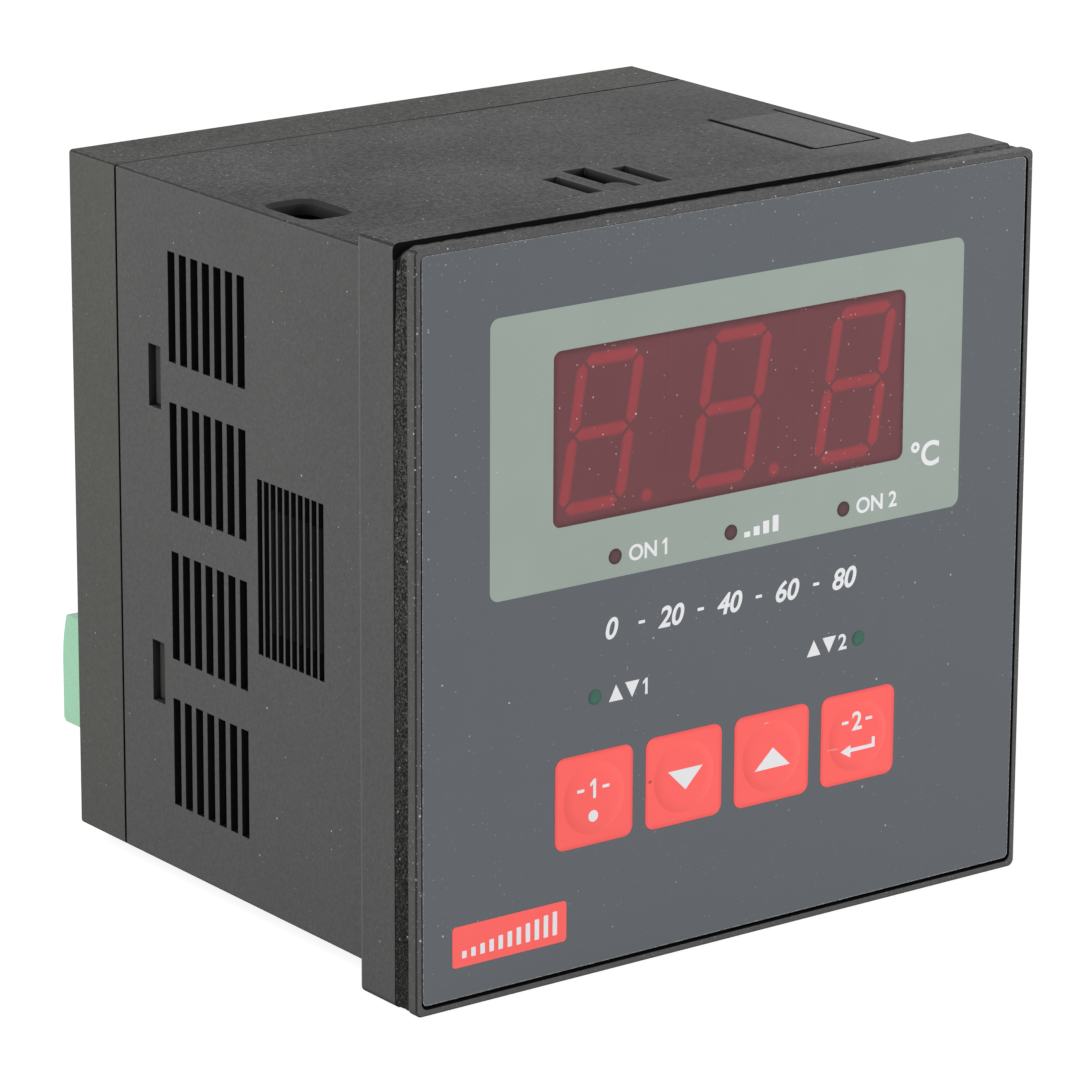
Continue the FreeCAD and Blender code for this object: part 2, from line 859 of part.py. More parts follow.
def make_transformer_core():
    """Laminated core with two windows."""
    core_y = span(transformer_y, core_stack)
    core = box(span(transformer_x, core_width), core_y, (main_board_top, main_board_top + core_height))
    window_z = core_window_z()
    inner = core_leg_width / 2
    outer = core_width / 2 - core_limb_width
    right = box((transformer_x + inner, transformer_x + outer), core_y, window_z)
    left = box((transformer_x - outer, transformer_x - inner), core_y, window_z)
    return core.cut([left, right])


def make_transformer_bobbin():
    """Tube round the centre leg with two flanges and two rails that stand on the board."""
    low, high = core_window_z()
    hole_x = grown(span(transformer_x, core_leg_width), bobbin_fit)
    hole_y = grown(span(transformer_y, core_stack), bobbin_fit)
    flange_x = grown(span(transformer_x, core_width - 2 * core_limb_width), -bobbin_fit)
    flange_y = span(transformer_y, bobbin_depth)
    tube = box(grown(hole_x, bobbin_wall), grown(hole_y, bobbin_wall), (low, high))
    lower = box(flange_x, flange_y, (low, low + bobbin_flange))
    upper = box(flange_x, flange_y, (high - bobbin_flange, high))
    rails = [
        box(flange_x, (flange_y[0], flange_y[0] + bobbin_rail_depth), (main_board_top, low)),
        box(flange_x, (flange_y[1] - bobbin_rail_depth, flange_y[1]), (main_board_top, low)),
    ]
    return tube.fuse([lower, upper] + rails).cut(box(hole_x, hole_y, (low, high))).removeSplitter()


def make_transformer_winding():
    """Wire wound on the bobbin between its flanges."""
    low, high = core_window_z()
    tube_x = grown(span(transformer_x, core_leg_width), bobbin_fit + bobbin_wall)
    tube_y = grown(span(transformer_y, core_stack), bobbin_fit + bobbin_wall)
    wire_x = grown(span(transformer_x, core_width - 2 * core_limb_width), -bobbin_fit - winding_inset)
    wire_y = grown(span(transformer_y, bobbin_depth), -winding_inset)
    wire_z = (low + bobbin_flange, high - bobbin_flange)
    wound = rounded_box(wire_x, wire_y, wire_z, bobbin_wall, ALONG_Z)
    return wound.cut(box(tube_x, tube_y, wire_z))


def make_relay(x):
    """Sealed relay box with rounded upright edges."""
    z = (main_board_top, main_board_top + relay_height)
    return rounded_box(span(x, relay_length), span(relay_y, relay_width), z, relay_edge, ALONG_Z)


def make_capacitor():
    """Upright can with the crimp groove near its foot."""
    radius = capacitor_diameter / 2
    can = rod(capacitor_x, capacitor_y, main_board_top, radius, capacitor_height, ALONG_Z)
    groove_z = main_board_top + capacitor_groove_height
    outer = rod(capacitor_x, capacitor_y, groove_z, radius, capacitor_groove_width, ALONG_Z)
    core = rod(
        capacitor_x, capacitor_y, groove_z, radius - capacitor_groove_depth, capacitor_groove_width, ALONG_Z
    )
    return can.cut(outer.cut(core))


def make_rectifier():
    """Small moulded bridge rectifier."""
    z = (main_board_top, main_board_top + rectifier_height)
    return box(span(rectifier_x, rectifier_width), span(rectifier_y, rectifier_length), z)


def make_regulator():
    """Upright regulator: moulded body on a drilled metal tab."""
    rear = regulator_y + regulator_depth / 2
    x = span(regulator_x, regulator_width)
    body = box(x, span(regulator_y, regulator_depth), (main_board_top, main_board_top + regulator_height))
    tab_y = (rear - regulator_tab_depth, rear)
    tab = box(x, tab_y, (main_board_top, main_board_top + regulator_tab_height))
    hole_z = main_board_top + regulator_tab_height - regulator_hole_drop
    hole = rod(regulator_x, tab_y[0], hole_z, regulator_hole_diameter / 2, regulator_tab_depth, ALONG_Y)
    return body.fuse(tab).cut(hole).removeSplitter()


def make_varistor():
    """Disc varistor on two short legs."""
    centre_z = main_board_top + varistor_lift + varistor_diameter / 2
    start_x = varistor_x - varistor_thickness / 2
    disc = rod(start_x, varistor_y, centre_z, varistor_diameter / 2, varistor_thickness, ALONG_X)
    legs = [
        box(
            span(varistor_x, varistor_leg_size),
            span(varistor_y + offset, varistor_leg_size),
            (main_board_top, centre_z),
        )
        for offset in row_places(2, varistor_leg_pitch)
    ]
    return disc.fuse(legs).removeSplitter()


# Terminal headers and plugs


def pole_places(centre, poles):
    """Places of the poles of one plug along X."""
    return [centre + offset for offset in row_places(poles, pole_pitch)]


def make_header_pins(centre, poles):
    """Bent pins of a header, from the board into the plug."""
    arm_z = span(nose_centre_z, pin_size)
    leg_rear = header_front - pin_leg_offset
    leg_y = (leg_rear - pin_size, leg_rear)
    pins = []
    for place in pole_places(centre, poles):
        x = span(place, pin_size)
        leg = box(x, leg_y, (main_board_top, arm_z[1]))
        arm = box(x, (leg_y[0], header_front + pin_length), arm_z)
        pins.append(leg.fuse(arm).removeSplitter())
    return pins


def make_header(centre, poles):
    """Open shroud on the main board that takes the nose of a plug."""
    nose_half = plug_half_length(poles) - nose_inset
    cavity_x = grown(span(centre, 2 * nose_half), nose_clearance)
    cavity_z = grown((nose_bottom_z, nose_top_z), nose_clearance)
    outer_z = (main_board_top, cavity_z[1] + header_wall)
    shroud = box(grown(cavity_x, header_wall), (header_front, header_rear), outer_z)
    cavity = box(cavity_x, (header_front + header_back, header_rear), cavity_z)
    return shroud.cut([cavity] + make_header_pins(centre, poles))


def plug_outline():
    """Side outline of a plug's block: chamfered foot and a top that curves back."""
    bend_z = plug_top_z - plug_top_depth
    top_rear = plug_rear - plug_top_setback
    foot = plug_rear - plug_bottom_chamfer
    front_low = Vec(0, plug_front, plug_bottom_z)
    foot_low = Vec(0, foot, plug_bottom_z)
    foot_high = Vec(0, plug_rear, plug_bottom_z + plug_bottom_chamfer)
    bend = Vec(0, plug_rear, bend_z)
    rear_top = Vec(0, top_rear, plug_top_z)
    front_top = Vec(0, plug_front, plug_top_z)
    sag_radius = (plug_top_depth**2 + plug_top_setback**2) / (2 * plug_top_setback)
    turn = math.asin(plug_top_depth / sag_radius) / 2
    middle_y = plug_rear - sag_radius * (1 - math.cos(turn))
    middle = Vec(0, middle_y, bend_z + sag_radius * math.sin(turn))
    return Part.Wire(
        [
            Part.makeLine(front_low, foot_low),
            Part.makeLine(foot_low, foot_high),
            Part.makeLine(foot_high, bend),
            Part.Arc(bend, middle, rear_top).toShape(),
            Part.makeLine(rear_top, front_top),
            Part.makeLine(front_top, front_low),
        ]
    )


def make_plug(centre, poles):
    """Terminal plug: block with wire holes and screw wells, and a nose that enters its header."""
    half = plug_half_length(poles)
    block = Part.Face(plug_outline()).extrude(Vec(2 * half, 0, 0))
    block.translate(Vec(centre - half, 0, 0))
    nose_half = half - nose_inset
    nose = box(span(centre, 2 * nose_half), (nose_front, plug_front), (nose_bottom_z, nose_top_z))
    cuts = []
    pin_hole = pin_size + 2 * pin_clearance
    pin_end = header_front + pin_length + pin_clearance
    wire_z = (wire_hole_bottom_z, wire_hole_bottom_z + wire_hole_height)
    for place in pole_places(centre, poles):
        cuts.append(box(span(place, pin_hole), (nose_front, pin_end), span(nose_centre_z, pin_hole)))
        cuts.append(box(span(place, wire_hole_width), (clamp_rear, plug_rear), wire_z))
        cuts.append(box(span(place, clamp_width), (clamp_front, clamp_rear), (clamp_bottom_z, clamp_top_z)))
        well = plug_top_z - clamp_top_z
        cuts.append(rod(place, terminal_screw_y, clamp_top_z, terminal_screw_hole / 2, well, ALONG_Z))
    for offset in row_places(poles - 1, pole_pitch):
        groove_y = (plug_rear - plug_groove_depth, plug_rear)
        cuts.append(box(span(centre + offset, plug_groove_width), groove_y, (plug_bottom_z, plug_top_z)))
    return block.fuse(nose).cut(cuts).removeSplitter()


def make_clamps(centre, poles):
    """Metal clamp channels inside a plug, open to the wire hole and to their screws."""
    clamps = []
    for place in pole_places(centre, poles):
        channel = box(span(place, clamp_width), (clamp_front, clamp_rear), (clamp_bottom_z, clamp_top_z))
        opening_x = grown(span(place, clamp_width), -clamp_wall)
        opening = box(opening_x, (clamp_front, clamp_rear), (clamp_bottom_z + clamp_wall, clamp_top_z))
        clamps.append(channel.cut(opening))
    return clamps


def make_terminal_screws(centre, poles):
    """Slotted screws in the wells of a plug."""
    radius = terminal_screw_diameter / 2
    bottom_z = terminal_screw_top_z - terminal_screw_length
    screws = []
    for place in pole_places(centre, poles):
        screw = rod(place, terminal_screw_y, bottom_z, radius, terminal_screw_length, ALONG_Z)
        slot = box(
            span(place, terminal_slot_width),
            span(terminal_screw_y, terminal_screw_diameter),
            (terminal_screw_top_z - terminal_slot_depth, terminal_screw_top_z),
        )
        screws.append(screw.cut(slot))
    return screws


def make_parts():
    """Every piece by name."""
    parts = {
        "front_frame": make_front_frame(),
        "front_overlay": make_front_overlay(),
        "display_window": make_display_window(),
        "front_gasket": make_front_gasket(),
        "case": make_case(),
        "rear_cover": make_rear_cover(),
        "display_board": make_display_board(),
        "display_board_screws": Part.makeCompound(make_display_board_screws()),
        "microcontroller": make_microcontroller(),
        "main_board": make_main_board(),
        "link_header": make_link_header(),
        "link_pins": Part.makeCompound(make_link_pins()),
        "transformer_core": make_transformer_core(),
        "transformer_bobbin": make_transformer_bobbin(),
        "transformer_winding": make_transformer_winding(),
        "relay_1": make_relay(relay_1_x),
        "relay_2": make_relay(relay_2_x),
        "smoothing_capacitor": make_capacitor(),
        "rectifier": make_rectifier(),
        "regulator": make_regulator(),
        "mains_fuse": rod(fuse_x, fuse_y, main_board_top, fuse_diameter / 2, fuse_height, ALONG_Z),
        "surge_varistor": make_varistor(),
    }
    for name in digit_names:
        parts[name] = make_digit(name)
        parts[name + "_segments"] = Part.makeCompound(make_segments(name))
    for name, (x, z) in lamp_places.items():
        parts[name] = make_lamp(x, z)
    for name, x in key_places.items():
        parts[name] = make_key(x)
        parts[name + "_plunger"] = make_plunger(x)
        parts[name + "_switch"] = make_switch(x)
    for name, centre, poles in (
        ("power", power_plug_x, power_poles),
        ("sensor", sensor_plug_x, sensor_poles),
    ):
        parts[name + "_header"] = make_header(centre, poles)
        parts[name + "_header_pins"] = Part.makeCompound(make_header_pins(centre, poles))
        parts[name + "_plug"] = make_plug(centre, poles)
        parts[name + "_plug_clamps"] = Part.makeCompound(make_clamps(centre, poles))
        parts[name + "_plug_screws"] = Part.makeCompound(make_terminal_screws(centre, poles))
    return parts


os.makedirs("parts", exist_ok=True)
for part_name, part_shape in make_parts().items():
    part_shape.exportStep("parts/" + part_name + ".step")
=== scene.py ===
"""Finish of a panel-mount temperature controller: moulded case, foam seal, printed front and soft keys."""

import math
from collections import namedtuple

import bmesh
import bpy
from bpy.props import FloatProperty, FloatVectorProperty, IntProperty, PointerProperty
from mathutils import Matrix, Vector, noise


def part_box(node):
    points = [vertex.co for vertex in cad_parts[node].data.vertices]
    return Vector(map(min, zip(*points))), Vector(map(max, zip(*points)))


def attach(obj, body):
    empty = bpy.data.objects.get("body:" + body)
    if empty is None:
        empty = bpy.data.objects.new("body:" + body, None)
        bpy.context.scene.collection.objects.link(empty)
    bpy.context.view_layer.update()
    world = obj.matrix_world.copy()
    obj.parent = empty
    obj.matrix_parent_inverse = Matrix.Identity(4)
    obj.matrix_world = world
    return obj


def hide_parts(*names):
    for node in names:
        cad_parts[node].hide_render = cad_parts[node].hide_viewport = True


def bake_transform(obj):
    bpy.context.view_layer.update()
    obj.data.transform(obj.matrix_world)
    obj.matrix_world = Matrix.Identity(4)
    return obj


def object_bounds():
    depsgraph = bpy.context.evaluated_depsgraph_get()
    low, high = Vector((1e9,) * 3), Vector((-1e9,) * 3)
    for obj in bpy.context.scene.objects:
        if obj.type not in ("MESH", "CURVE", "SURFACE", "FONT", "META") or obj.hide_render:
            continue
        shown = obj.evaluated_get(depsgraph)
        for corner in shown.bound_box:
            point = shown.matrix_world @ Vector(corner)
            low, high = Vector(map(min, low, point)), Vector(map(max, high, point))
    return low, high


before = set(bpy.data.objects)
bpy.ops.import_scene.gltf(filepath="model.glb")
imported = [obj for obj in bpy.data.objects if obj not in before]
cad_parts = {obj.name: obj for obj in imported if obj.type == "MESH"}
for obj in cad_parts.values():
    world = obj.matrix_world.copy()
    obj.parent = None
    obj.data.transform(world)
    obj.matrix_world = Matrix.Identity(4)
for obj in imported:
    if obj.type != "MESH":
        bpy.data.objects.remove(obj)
solid_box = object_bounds()

bl_info = {
    "name": "Temperature controller finish",
    "version": (1, 0, 0),
    "blender": (4, 5, 0),
    "location": "3D View > Sidebar > Controller",
    "description": "Dresses the solids of a panel-mount temperature controller",
    "category": "Object",
}

MM = 0.001
HOUSING = "housing"
KEYS = ("key_program", "key_down", "key_up", "key_enter")
DIGITS = ("digit_left", "digit_middle", "digit_right")
RED_LAMPS = ("output_lamp_1", "program_lamp", "output_lamp_2")
GREEN_LAMPS = ("setpoint_lamp_1", "setpoint_lamp_2")
PLUGS = ("power", "sensor")

# Planes and half sizes that the finishes and the print are set out from
FRONT_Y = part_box("front_overlay")[0].y
FRAME_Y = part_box("front_frame")[0].y
FLANGE_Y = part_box("front_gasket")[1].y
CASE_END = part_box("case")[1].y
FRONT_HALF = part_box("front_frame")[1].x
BODY_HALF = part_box("rear_cover")[1].x

# Openings that the finish of the case picks out, sideways from the middle or rearward from the panel
CLIP_HALF = 8.0 * MM
CLIP_END = 23.0 * MM
POCKET_SIDE = 34.0 * MM
POCKET_END = 29.0 * MM
GROOVE_X = 32.2 * MM
GROOVE_HALF = 0.55 * MM
GROOVE_SPAN = (12.9 * MM, 34.9 * MM)
FAR_GROOVE = 40.0 * MM
LATCH_SPAN = (47.3 * MM, 50.4 * MM)

# Painted shade of each recess, as a share of the colour round it; the dusty seam is paler with dust
PAINTED_RECESS_SHADE_AND_DUST = {
    "groove_lip": 0.12,
    "slot": 0.04,
    "far_groove": 0.45,
    "latch_window": 0.5,
    "pocket_rim": 0.34,
    "pocket_floor": 0.04,
    "flange_gap": 0.03,
    "clip_wall": 0.38,
    "nib": 0.5,
    "seam": 0.03,
    "dusty_seam": 1.7,
    "sheet_gap": 0.03,
}

# Range in which most values of a noise texture lie
NOISE_RANGE = (0.3, 0.7)

# Sockets of the Mix node for two colours, which share their names with those for other kinds of values
MIX_FACTOR = 0
MIX_FIRST = 6
MIX_SECOND = 7
MIX_RESULT = 2

# Print: weights of the lettering, lean of the scale's numerals and corner radius of small bars
BOLD = 0.024
MEDIUM = 0.022
SCALE_LEAN = 0.22
BAR_RADIUS = 0.08 * MM

# Outlines of the signs on the keys, in millimetres from the middle of the sign
DOWN_SIGN = ((-2.4, 1.15), (0.4, -1.6), (3.1, 1.15))
UP_SIGN = ((-2.6, -1.5), (3.1, -1.5), (0.3, 1.2))
ENTER_SIGN = (
    (-2.65, -1.65),
    (-1.0, -0.95),
    (-1.0, -1.4),
    (2.5, -1.4),
    (2.5, -0.5),
    (3.0, -0.5),
    (3.0, -1.9),
    (-1.0, -1.9),
    (-1.0, -2.6),
)
# Outline of a plain 1 with a flag, as shares of its height
ONE_SHAPE = ((0.20, 0.0), (0.38, 0.0), (0.38, 1.0), (0.25, 1.0), (0.02, 0.80), (0.02, 0.63), (0.20, 0.75))

Surface = namedtuple("Surface", "x y z smaller larger")


def centre_of(name):
    """Middle of a solid, in the shared frame."""
    low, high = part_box(name)
    return (low + high) / 2


# Settings


def length_property(name, description, millimetres):
    """Length setting, given in millimetres and kept in metres."""
    return FloatProperty(
        name=name,
        description=description,
        default=millimetres * MM,
        unit="LENGTH",
        subtype="DISTANCE",
        precision=5,
    )


def angle_property(name, description, degrees):
    """Angle setting, given in degrees."""
    return FloatProperty(name=name, description=description, default=math.radians(degrees), subtype="ANGLE")


def colour_property(name, description, colour):
    """Colour setting."""
    return FloatVectorProperty(
        name=name, description=description, default=colour, subtype="COLOR", size=3, min=0.0, max=1.0
    )


def place_property(name, description, place):
    """Place in the shared frame, in metres."""
    return FloatVectorProperty(
        name=name, description=description, default=place, subtype="TRANSLATION", size=3, unit="LENGTH"
    )


class PrintSettings(bpy.types.PropertyGroup):
    """Sizes of the printed front."""

    ink: length_property("Ink", "Thickness of one printed layer", 0.02)
    field_half_width: length_property("Field half width", "Half the width of the pale field", 36.95)
    field_top: length_property("Field top", "Height of the field's upper edge", 38.05)
    field_bottom: length_property("Field bottom", "Height of the field's lower edge", 2.83)
    field_radius: length_property("Field radius", "Corner radius of the pale field", 1.3)
    window_radius: length_property("Window radius", "Corner radius of the window", 1.1)
    label_height: length_property("Label height", "Height of the marks beside the lamps", 2.1)
    label_gap: length_property("Label gap", "From a lamp's centre to its marks", 2.1)
    unit_height: length_property("Unit height", "Height of the degree mark beside the window", 3.5)
    unit_left: length_property("Unit left", "Left edge of the degree mark", 28.9)
    unit_base: length_property("Unit base", "Foot of the degree mark", 8.85)
    scale_half_width: length_property("Scale half width", "From the middle to the scale's last number", 18.4)
    scale_base: length_property("Scale base", "Foot of the numbers of the scale", -5.0)
    scale_height: length_property("Scale height", "Height of the numbers of the scale", 2.8)
    tag_left: length_property("Tag left", "Left edge of the red tag", -42.5)
    tag_right: length_property("Tag right", "Right edge of the red tag", -25.15)
    tag_bottom: length_property("Tag bottom", "Lower edge of the red tag", -42.8)
    tag_top: length_property("Tag top", "Upper edge of the red tag", -37.5)
    tag_radius: length_property("Tag radius", "Corner radius of the red tag", 0.5)
    tag_bars: IntProperty(name="Tag bars", description="Number of bars on the red tag", default=11, min=2)


class KeySettings(bpy.types.PropertyGroup):
    """Sizes of the soft keys."""

    square: length_property("Square", "Side of a key's red square", 12.0)
    square_radius: length_property("Square radius", "Corner radius of a key's red square", 1.4)
    film: length_property("Film", "Thickness of the coloured film", 0.03)
    shoulder: length_property("Shoulder", "Width of the slope round the raised middle", 1.6)
    sign_shift: length_property("Sign shift", "How far the signs stand left of the middle", 0.3)
    numeral_height: length_property("Numeral height", "Height of the numerals on the keys", 2.5)


class DisplaySettings(bpy.types.PropertyGroup):
    """Layout of the bars of a digit."""

    bar: length_property("Bar", "Width of a bar", 1.8)
    half_width: length_property("Half width", "From a digit's middle to its upright bars", 4.3)
    half_height: length_property("Half height", "From a digit's middle to its end bars", 9.1)
    slant: angle_property("Slant", "Lean of the digits", 9.5)
    point_x: length_property("Point", "From a digit's middle to its point, sideways", 7.0)
    point_drop: length_property("Point drop", "From a digit's middle down to its point", 9.2)
    fade: length_property("Fade", "How far a bar's soft edge reaches in", 0.4)


class LampSettings(bpy.types.PropertyGroup):
    """Sizes of the lamps in the sheet."""

    radius: length_property("Radius", "Radius of a lamp's lens", 1.0)
    clear: length_property("Clear", "Radius of the lens's evenly coloured middle", 0.45)
    dark: length_property("Dark", "Radius at which the lens is darkest", 0.95)


class FoamSettings(bpy.types.PropertyGroup):
    """Shape of the foam seal."""

    roughness: length_property("Roughness", "Depth of the cut foam's unevenness", 0.14)
    lean: length_property("Lean", "How much deeper the foam lies at the frame than at the flange", 0.35)
    crevice: length_property("Crevice", "Gap between foam and flange along the top", 1.05)
    lift: length_property("Lift", "How far the foam stands up along the top edge", 1.1)
    raised_start: length_property("Raised from", "Where the gap along the top starts to close", 22.0)
    raised_end: length_property("Raised to", "Where the gap along the top is closed, at the right", 41.0)
    parted_start: length_property("Parted from", "Height from which a gap opens on the left side", 34.0)
    parted_end: length_property("Parted to", "Height at which the gap on the left side is widest", 43.0)


class ColourSettings(bpy.types.PropertyGroup):
    """Colours of the pieces that are seen from outside."""

    case: colour_property("Case", "Charcoal moulding", (0.099, 0.099, 0.098))
    cover: colour_property("Rear cover", "Charcoal moulding of the rear cover", (0.097, 0.098, 0.091))
    foam: colour_property("Foam", "Black foam", (0.021, 0.021, 0.020))
    overlay: colour_property("Overlay", "Slate grey sheet", (0.0885, 0.0995, 0.1105))
    cut_edge: colour_property("Cut edge", "Dusty edge of the sheet", (0.55, 0.56, 0.56))
    field: colour_property("Field", "Pale grey-green print", (0.305, 0.358, 0.323))
    ink: colour_property("Ink", "White print", (0.80, 0.80, 0.82))
    key_red: colour_property("Key red", "Coral red print", (0.985, 0.124, 0.112))
    key_spot: colour_property("Key spot", "Dark spot on a key", (0.25, 0.04, 0.04))
    key_scuff: colour_property("Key scuff", "Pale scuffs on the keys", (0.95, 0.45, 0.42))
    window: colour_property("Window", "Dark red window", (0.270, 0.083, 0.097))
    segment: colour_property("Segment", "Unlit segment", (0.70, 0.020, 0.022))
    digit: colour_property("Digit", "Digit housing", (0.020, 0.009, 0.010))
    lamp_red: colour_property("Red lamp", "Middle of an unlit red lamp", (0.076, 0.021, 0.023))
    lamp_green: colour_property("Green lamp", "Middle of an unlit green lamp", (0.019, 0.102, 0.068))
    terminal: colour_property("Terminal", "Pale green moulding", (0.365, 0.665, 0.460))
    dust: colour_property("Dust", "Light dust specks", (0.62, 0.62, 0.60))


class InnerColourSettings(bpy.types.PropertyGroup):
    """Colours of the pieces inside the case."""

    board: colour_property("Board", "Green solder mask", (0.020, 0.115, 0.048))
    track: colour_property("Track", "Solder mask over copper", (0.045, 0.190, 0.085))
    tinned: colour_property("Tinned metal", "Pins, clamps and screws", (0.62, 0.61, 0.58))
    switch: colour_property("Switch", "Black moulding of the switches", (0.022, 0.022, 0.022))
    chip: colour_property("Chip", "Black moulding of the chips", (0.018, 0.018, 0.020))
    core: colour_property("Core", "Steel sheets of the transformer", (0.20, 0.20, 0.21))
    winding: colour_property("Winding", "Copper wire of the transformer", (0.42, 0.17, 0.06))
    bobbin: colour_property("Bobbin", "Off-white moulding", (0.62, 0.60, 0.55))
    relay: colour_property("Relay", "Blue relay box", (0.020, 0.060, 0.210))
    sleeve: colour_property("Sleeve", "Sleeve of the capacitor", (0.030, 0.030, 0.045))
    varistor: colour_property("Varistor", "Blue varistor", (0.040, 0.100, 0.320))


class StageSettings(bpy.types.PropertyGroup):
    """Camera and light."""

    lens: FloatProperty(
        name="Lens", description="Focal length", default=195.38, unit="CAMERA", subtype="DISTANCE_CAMERA"
    )
    camera_place: place_property("Camera place", "Where the camera stands", (-0.434906, -0.556581, 0.207839))
    azimuth: angle_property("Azimuth", "Turn of the view", -36.6417)
    elevation: angle_property("Elevation", "How far the view looks down", 16.2031)
    roll: angle_property("Roll", "Turn about the line of sight", 0.2402)
    horizon: FloatProperty(
        name="Horizon", description="Strength of the even light at the sides", default=0.45, min=0.0
    )
    zenith: FloatProperty(
        name="Zenith", description="Strength of the even light from above", default=0.35, min=0.0
    )
    key_place: place_property("Key place", "Where the light on the right hangs", (0.55, -0.90, 0.25))
    key_size: length_property("Key size", "Side of the light on the right", 400.0)
    key_power: FloatProperty(
        name="Key light", description="Power of the light on the right", default=8.7, unit="POWER"
    )
    fill_place: place_property("Fill place", "Where the light on the left hangs", (-0.35, 0.10, 0.20))
    fill_size: length_property("Fill size", "Side of the light on the left", 250.0)
    fill_power: FloatProperty(
        name="Fill light", description="Power of the light on the left", default=1.05, unit="POWER"
    )


# Node helpers


def node(tree, kind, inputs=None, **settings):
    """New shader node with its settings and inputs, each a value or a linked socket."""
    made = tree.nodes.new(kind)
    for name, value in settings.items():
        setattr(made, name, value)
    for name, value in (inputs or {}).items():
        if isinstance(value, bpy.types.NodeSocket):
            tree.links.new(value, made.inputs[name])
        else:
            made.inputs[name].default_value = value
    return made


def maths(tree, operation, *values):
    """Result of a Math node."""
    return node(tree, "ShaderNodeMath", dict(enumerate(values)), operation=operation).outputs[0]


def apart(tree, first, second):
    """How far apart two values are."""
    return maths(tree, "ABSOLUTE", maths(tree, "SUBTRACT", first, second))


def length_of(tree, across, rise):
    """Length of the slope over two distances."""
    squares = [maths(tree, "POWER", value, 2.0) for value in (across, rise)]
    return maths(tree, "SQRT", maths(tree, "ADD", *squares))


def above(tree, value, limit):
    """One where a value is over a limit."""
    return maths(tree, "GREATER_THAN", value, limit)


def below(tree, value, limit):
    """One where a value is under a limit."""
    return maths(tree, "LESS_THAN", value, limit)


def all_of(tree, first, *others):
    """Masks and values multiplied together."""
    for mask in others:
        first = maths(tree, "MULTIPLY", first, mask)
    return first


def sum_of(tree, first, *others):
    """Values added together."""
    for value in others:
        first = maths(tree, "ADD", first, value)
    return first


def between(tree, value, low, high):
    """One where a value lies between two limits."""
    return all_of(tree, above(tree, value, low), below(tree, value, high))


def ranged(tree, value, low, high, to_low=0.0, to_high=1.0, smooth=False):
    """Value mapped from one range to another."""
    inputs = {"Value": value, "From Min": low, "From Max": high, "To Min": to_low, "To Max": to_high}
    shape = "SMOOTHSTEP" if smooth else "LINEAR"
    return node(tree, "ShaderNodeMapRange", inputs, interpolation_type=shape, clamp=True).outputs["Result"]


def varied(tree, value, low, high):
    """Noise value spread over a range."""
    return ranged(tree, value, *NOISE_RANGE, low, high)


def mixed(tree, factor, first, second, blend="MIX"):
    """Two colours mixed by a factor."""
    inputs = {MIX_FACTOR: factor, MIX_FIRST: first, MIX_SECOND: second}
    return node(tree, "ShaderNodeMix", inputs, data_type="RGBA", blend_type=blend).outputs[MIX_RESULT]


def opaque(colour):
    """Colour setting with full alpha."""
    return (*colour, 1.0)


def shade_of(colour, share):
    """Darker or paler kind of a colour."""
    return opaque([part * share for part in colour])


def scaled_colour(tree, colour, factor):
    """Colour times a factor that changes over the surface."""
    grey = node(tree, "ShaderNodeCombineColor", {"Red": factor, "Green": factor, "Blue": factor})
    return mixed(tree, 1.0, opaque(colour), grey.outputs["Color"], "MULTIPLY")


def split(tree, vector):
    """X, Y and Z of a vector."""
    return node(tree, "ShaderNodeSeparateXYZ", {"Vector": vector}).outputs


def object_place(tree):
    """Place on the surface, in metres."""
    return tree.nodes.new("ShaderNodeTexCoord").outputs["Object"]


def flat_normal(tree):
    """Direction in which the surface faces, without bump."""
    return tree.nodes.new("ShaderNodeNewGeometry").outputs["True Normal"]


def noise_of(tree, scale, detail, roughness=0.5):
    """Value of a noise texture."""
    inputs = {"Vector": object_place(tree), "Scale": scale, "Detail": detail, "Roughness": roughness}
    return node(tree, "ShaderNodeTexNoise", inputs).outputs["Fac"]


def within_pitch(tree, value, centre, pitch):
    """Signed distance from the nearest centre in a row."""
    return maths(tree, "WRAP", maths(tree, "SUBTRACT", value, centre), pitch / 2, -pitch / 2)


def new_group(name, inputs, outputs):
    """Empty node group with named float inputs and outputs, and its input and output nodes."""
    group = bpy.data.node_groups.new(name, "ShaderNodeTree")
    for label, default in inputs.items():
        socket = group.interface.new_socket(label, in_out="INPUT", socket_type="NodeSocketFloat")
        socket.default_value = default
    for label in outputs:
        group.interface.new_socket(label, in_out="OUTPUT", socket_type="NodeSocketFloat")
    return group, group.nodes.new("NodeGroupInput"), group.nodes.new("NodeGroupOutput")


def use_group(tree, name, inputs):
    """Node group placed in a material with its own values."""
    made = tree.nodes.new("ShaderNodeGroup")
    made.node_tree = bpy.data.node_groups[name]
    for label, value in inputs.items():
        made.inputs[label].default_value = value
    return made.outputs


def make_grain_group():
    """Fine moulding grain as a height, with broad mottling beside it."""
    inputs = {"Grain": 2500.0, "Mottle": 90.0}
    group, given, put_out = new_group("moulding_grain", inputs, ("Height", "Mottle"))
    fine = noise_of(group, given.outputs["Grain"], 2.0, 0.6)
    broad = noise_of(group, given.outputs["Mottle"], 4.0, 0.62)
    group.links.new(fine, put_out.inputs["Height"])
    group.links.new(broad, put_out.inputs["Mottle"])


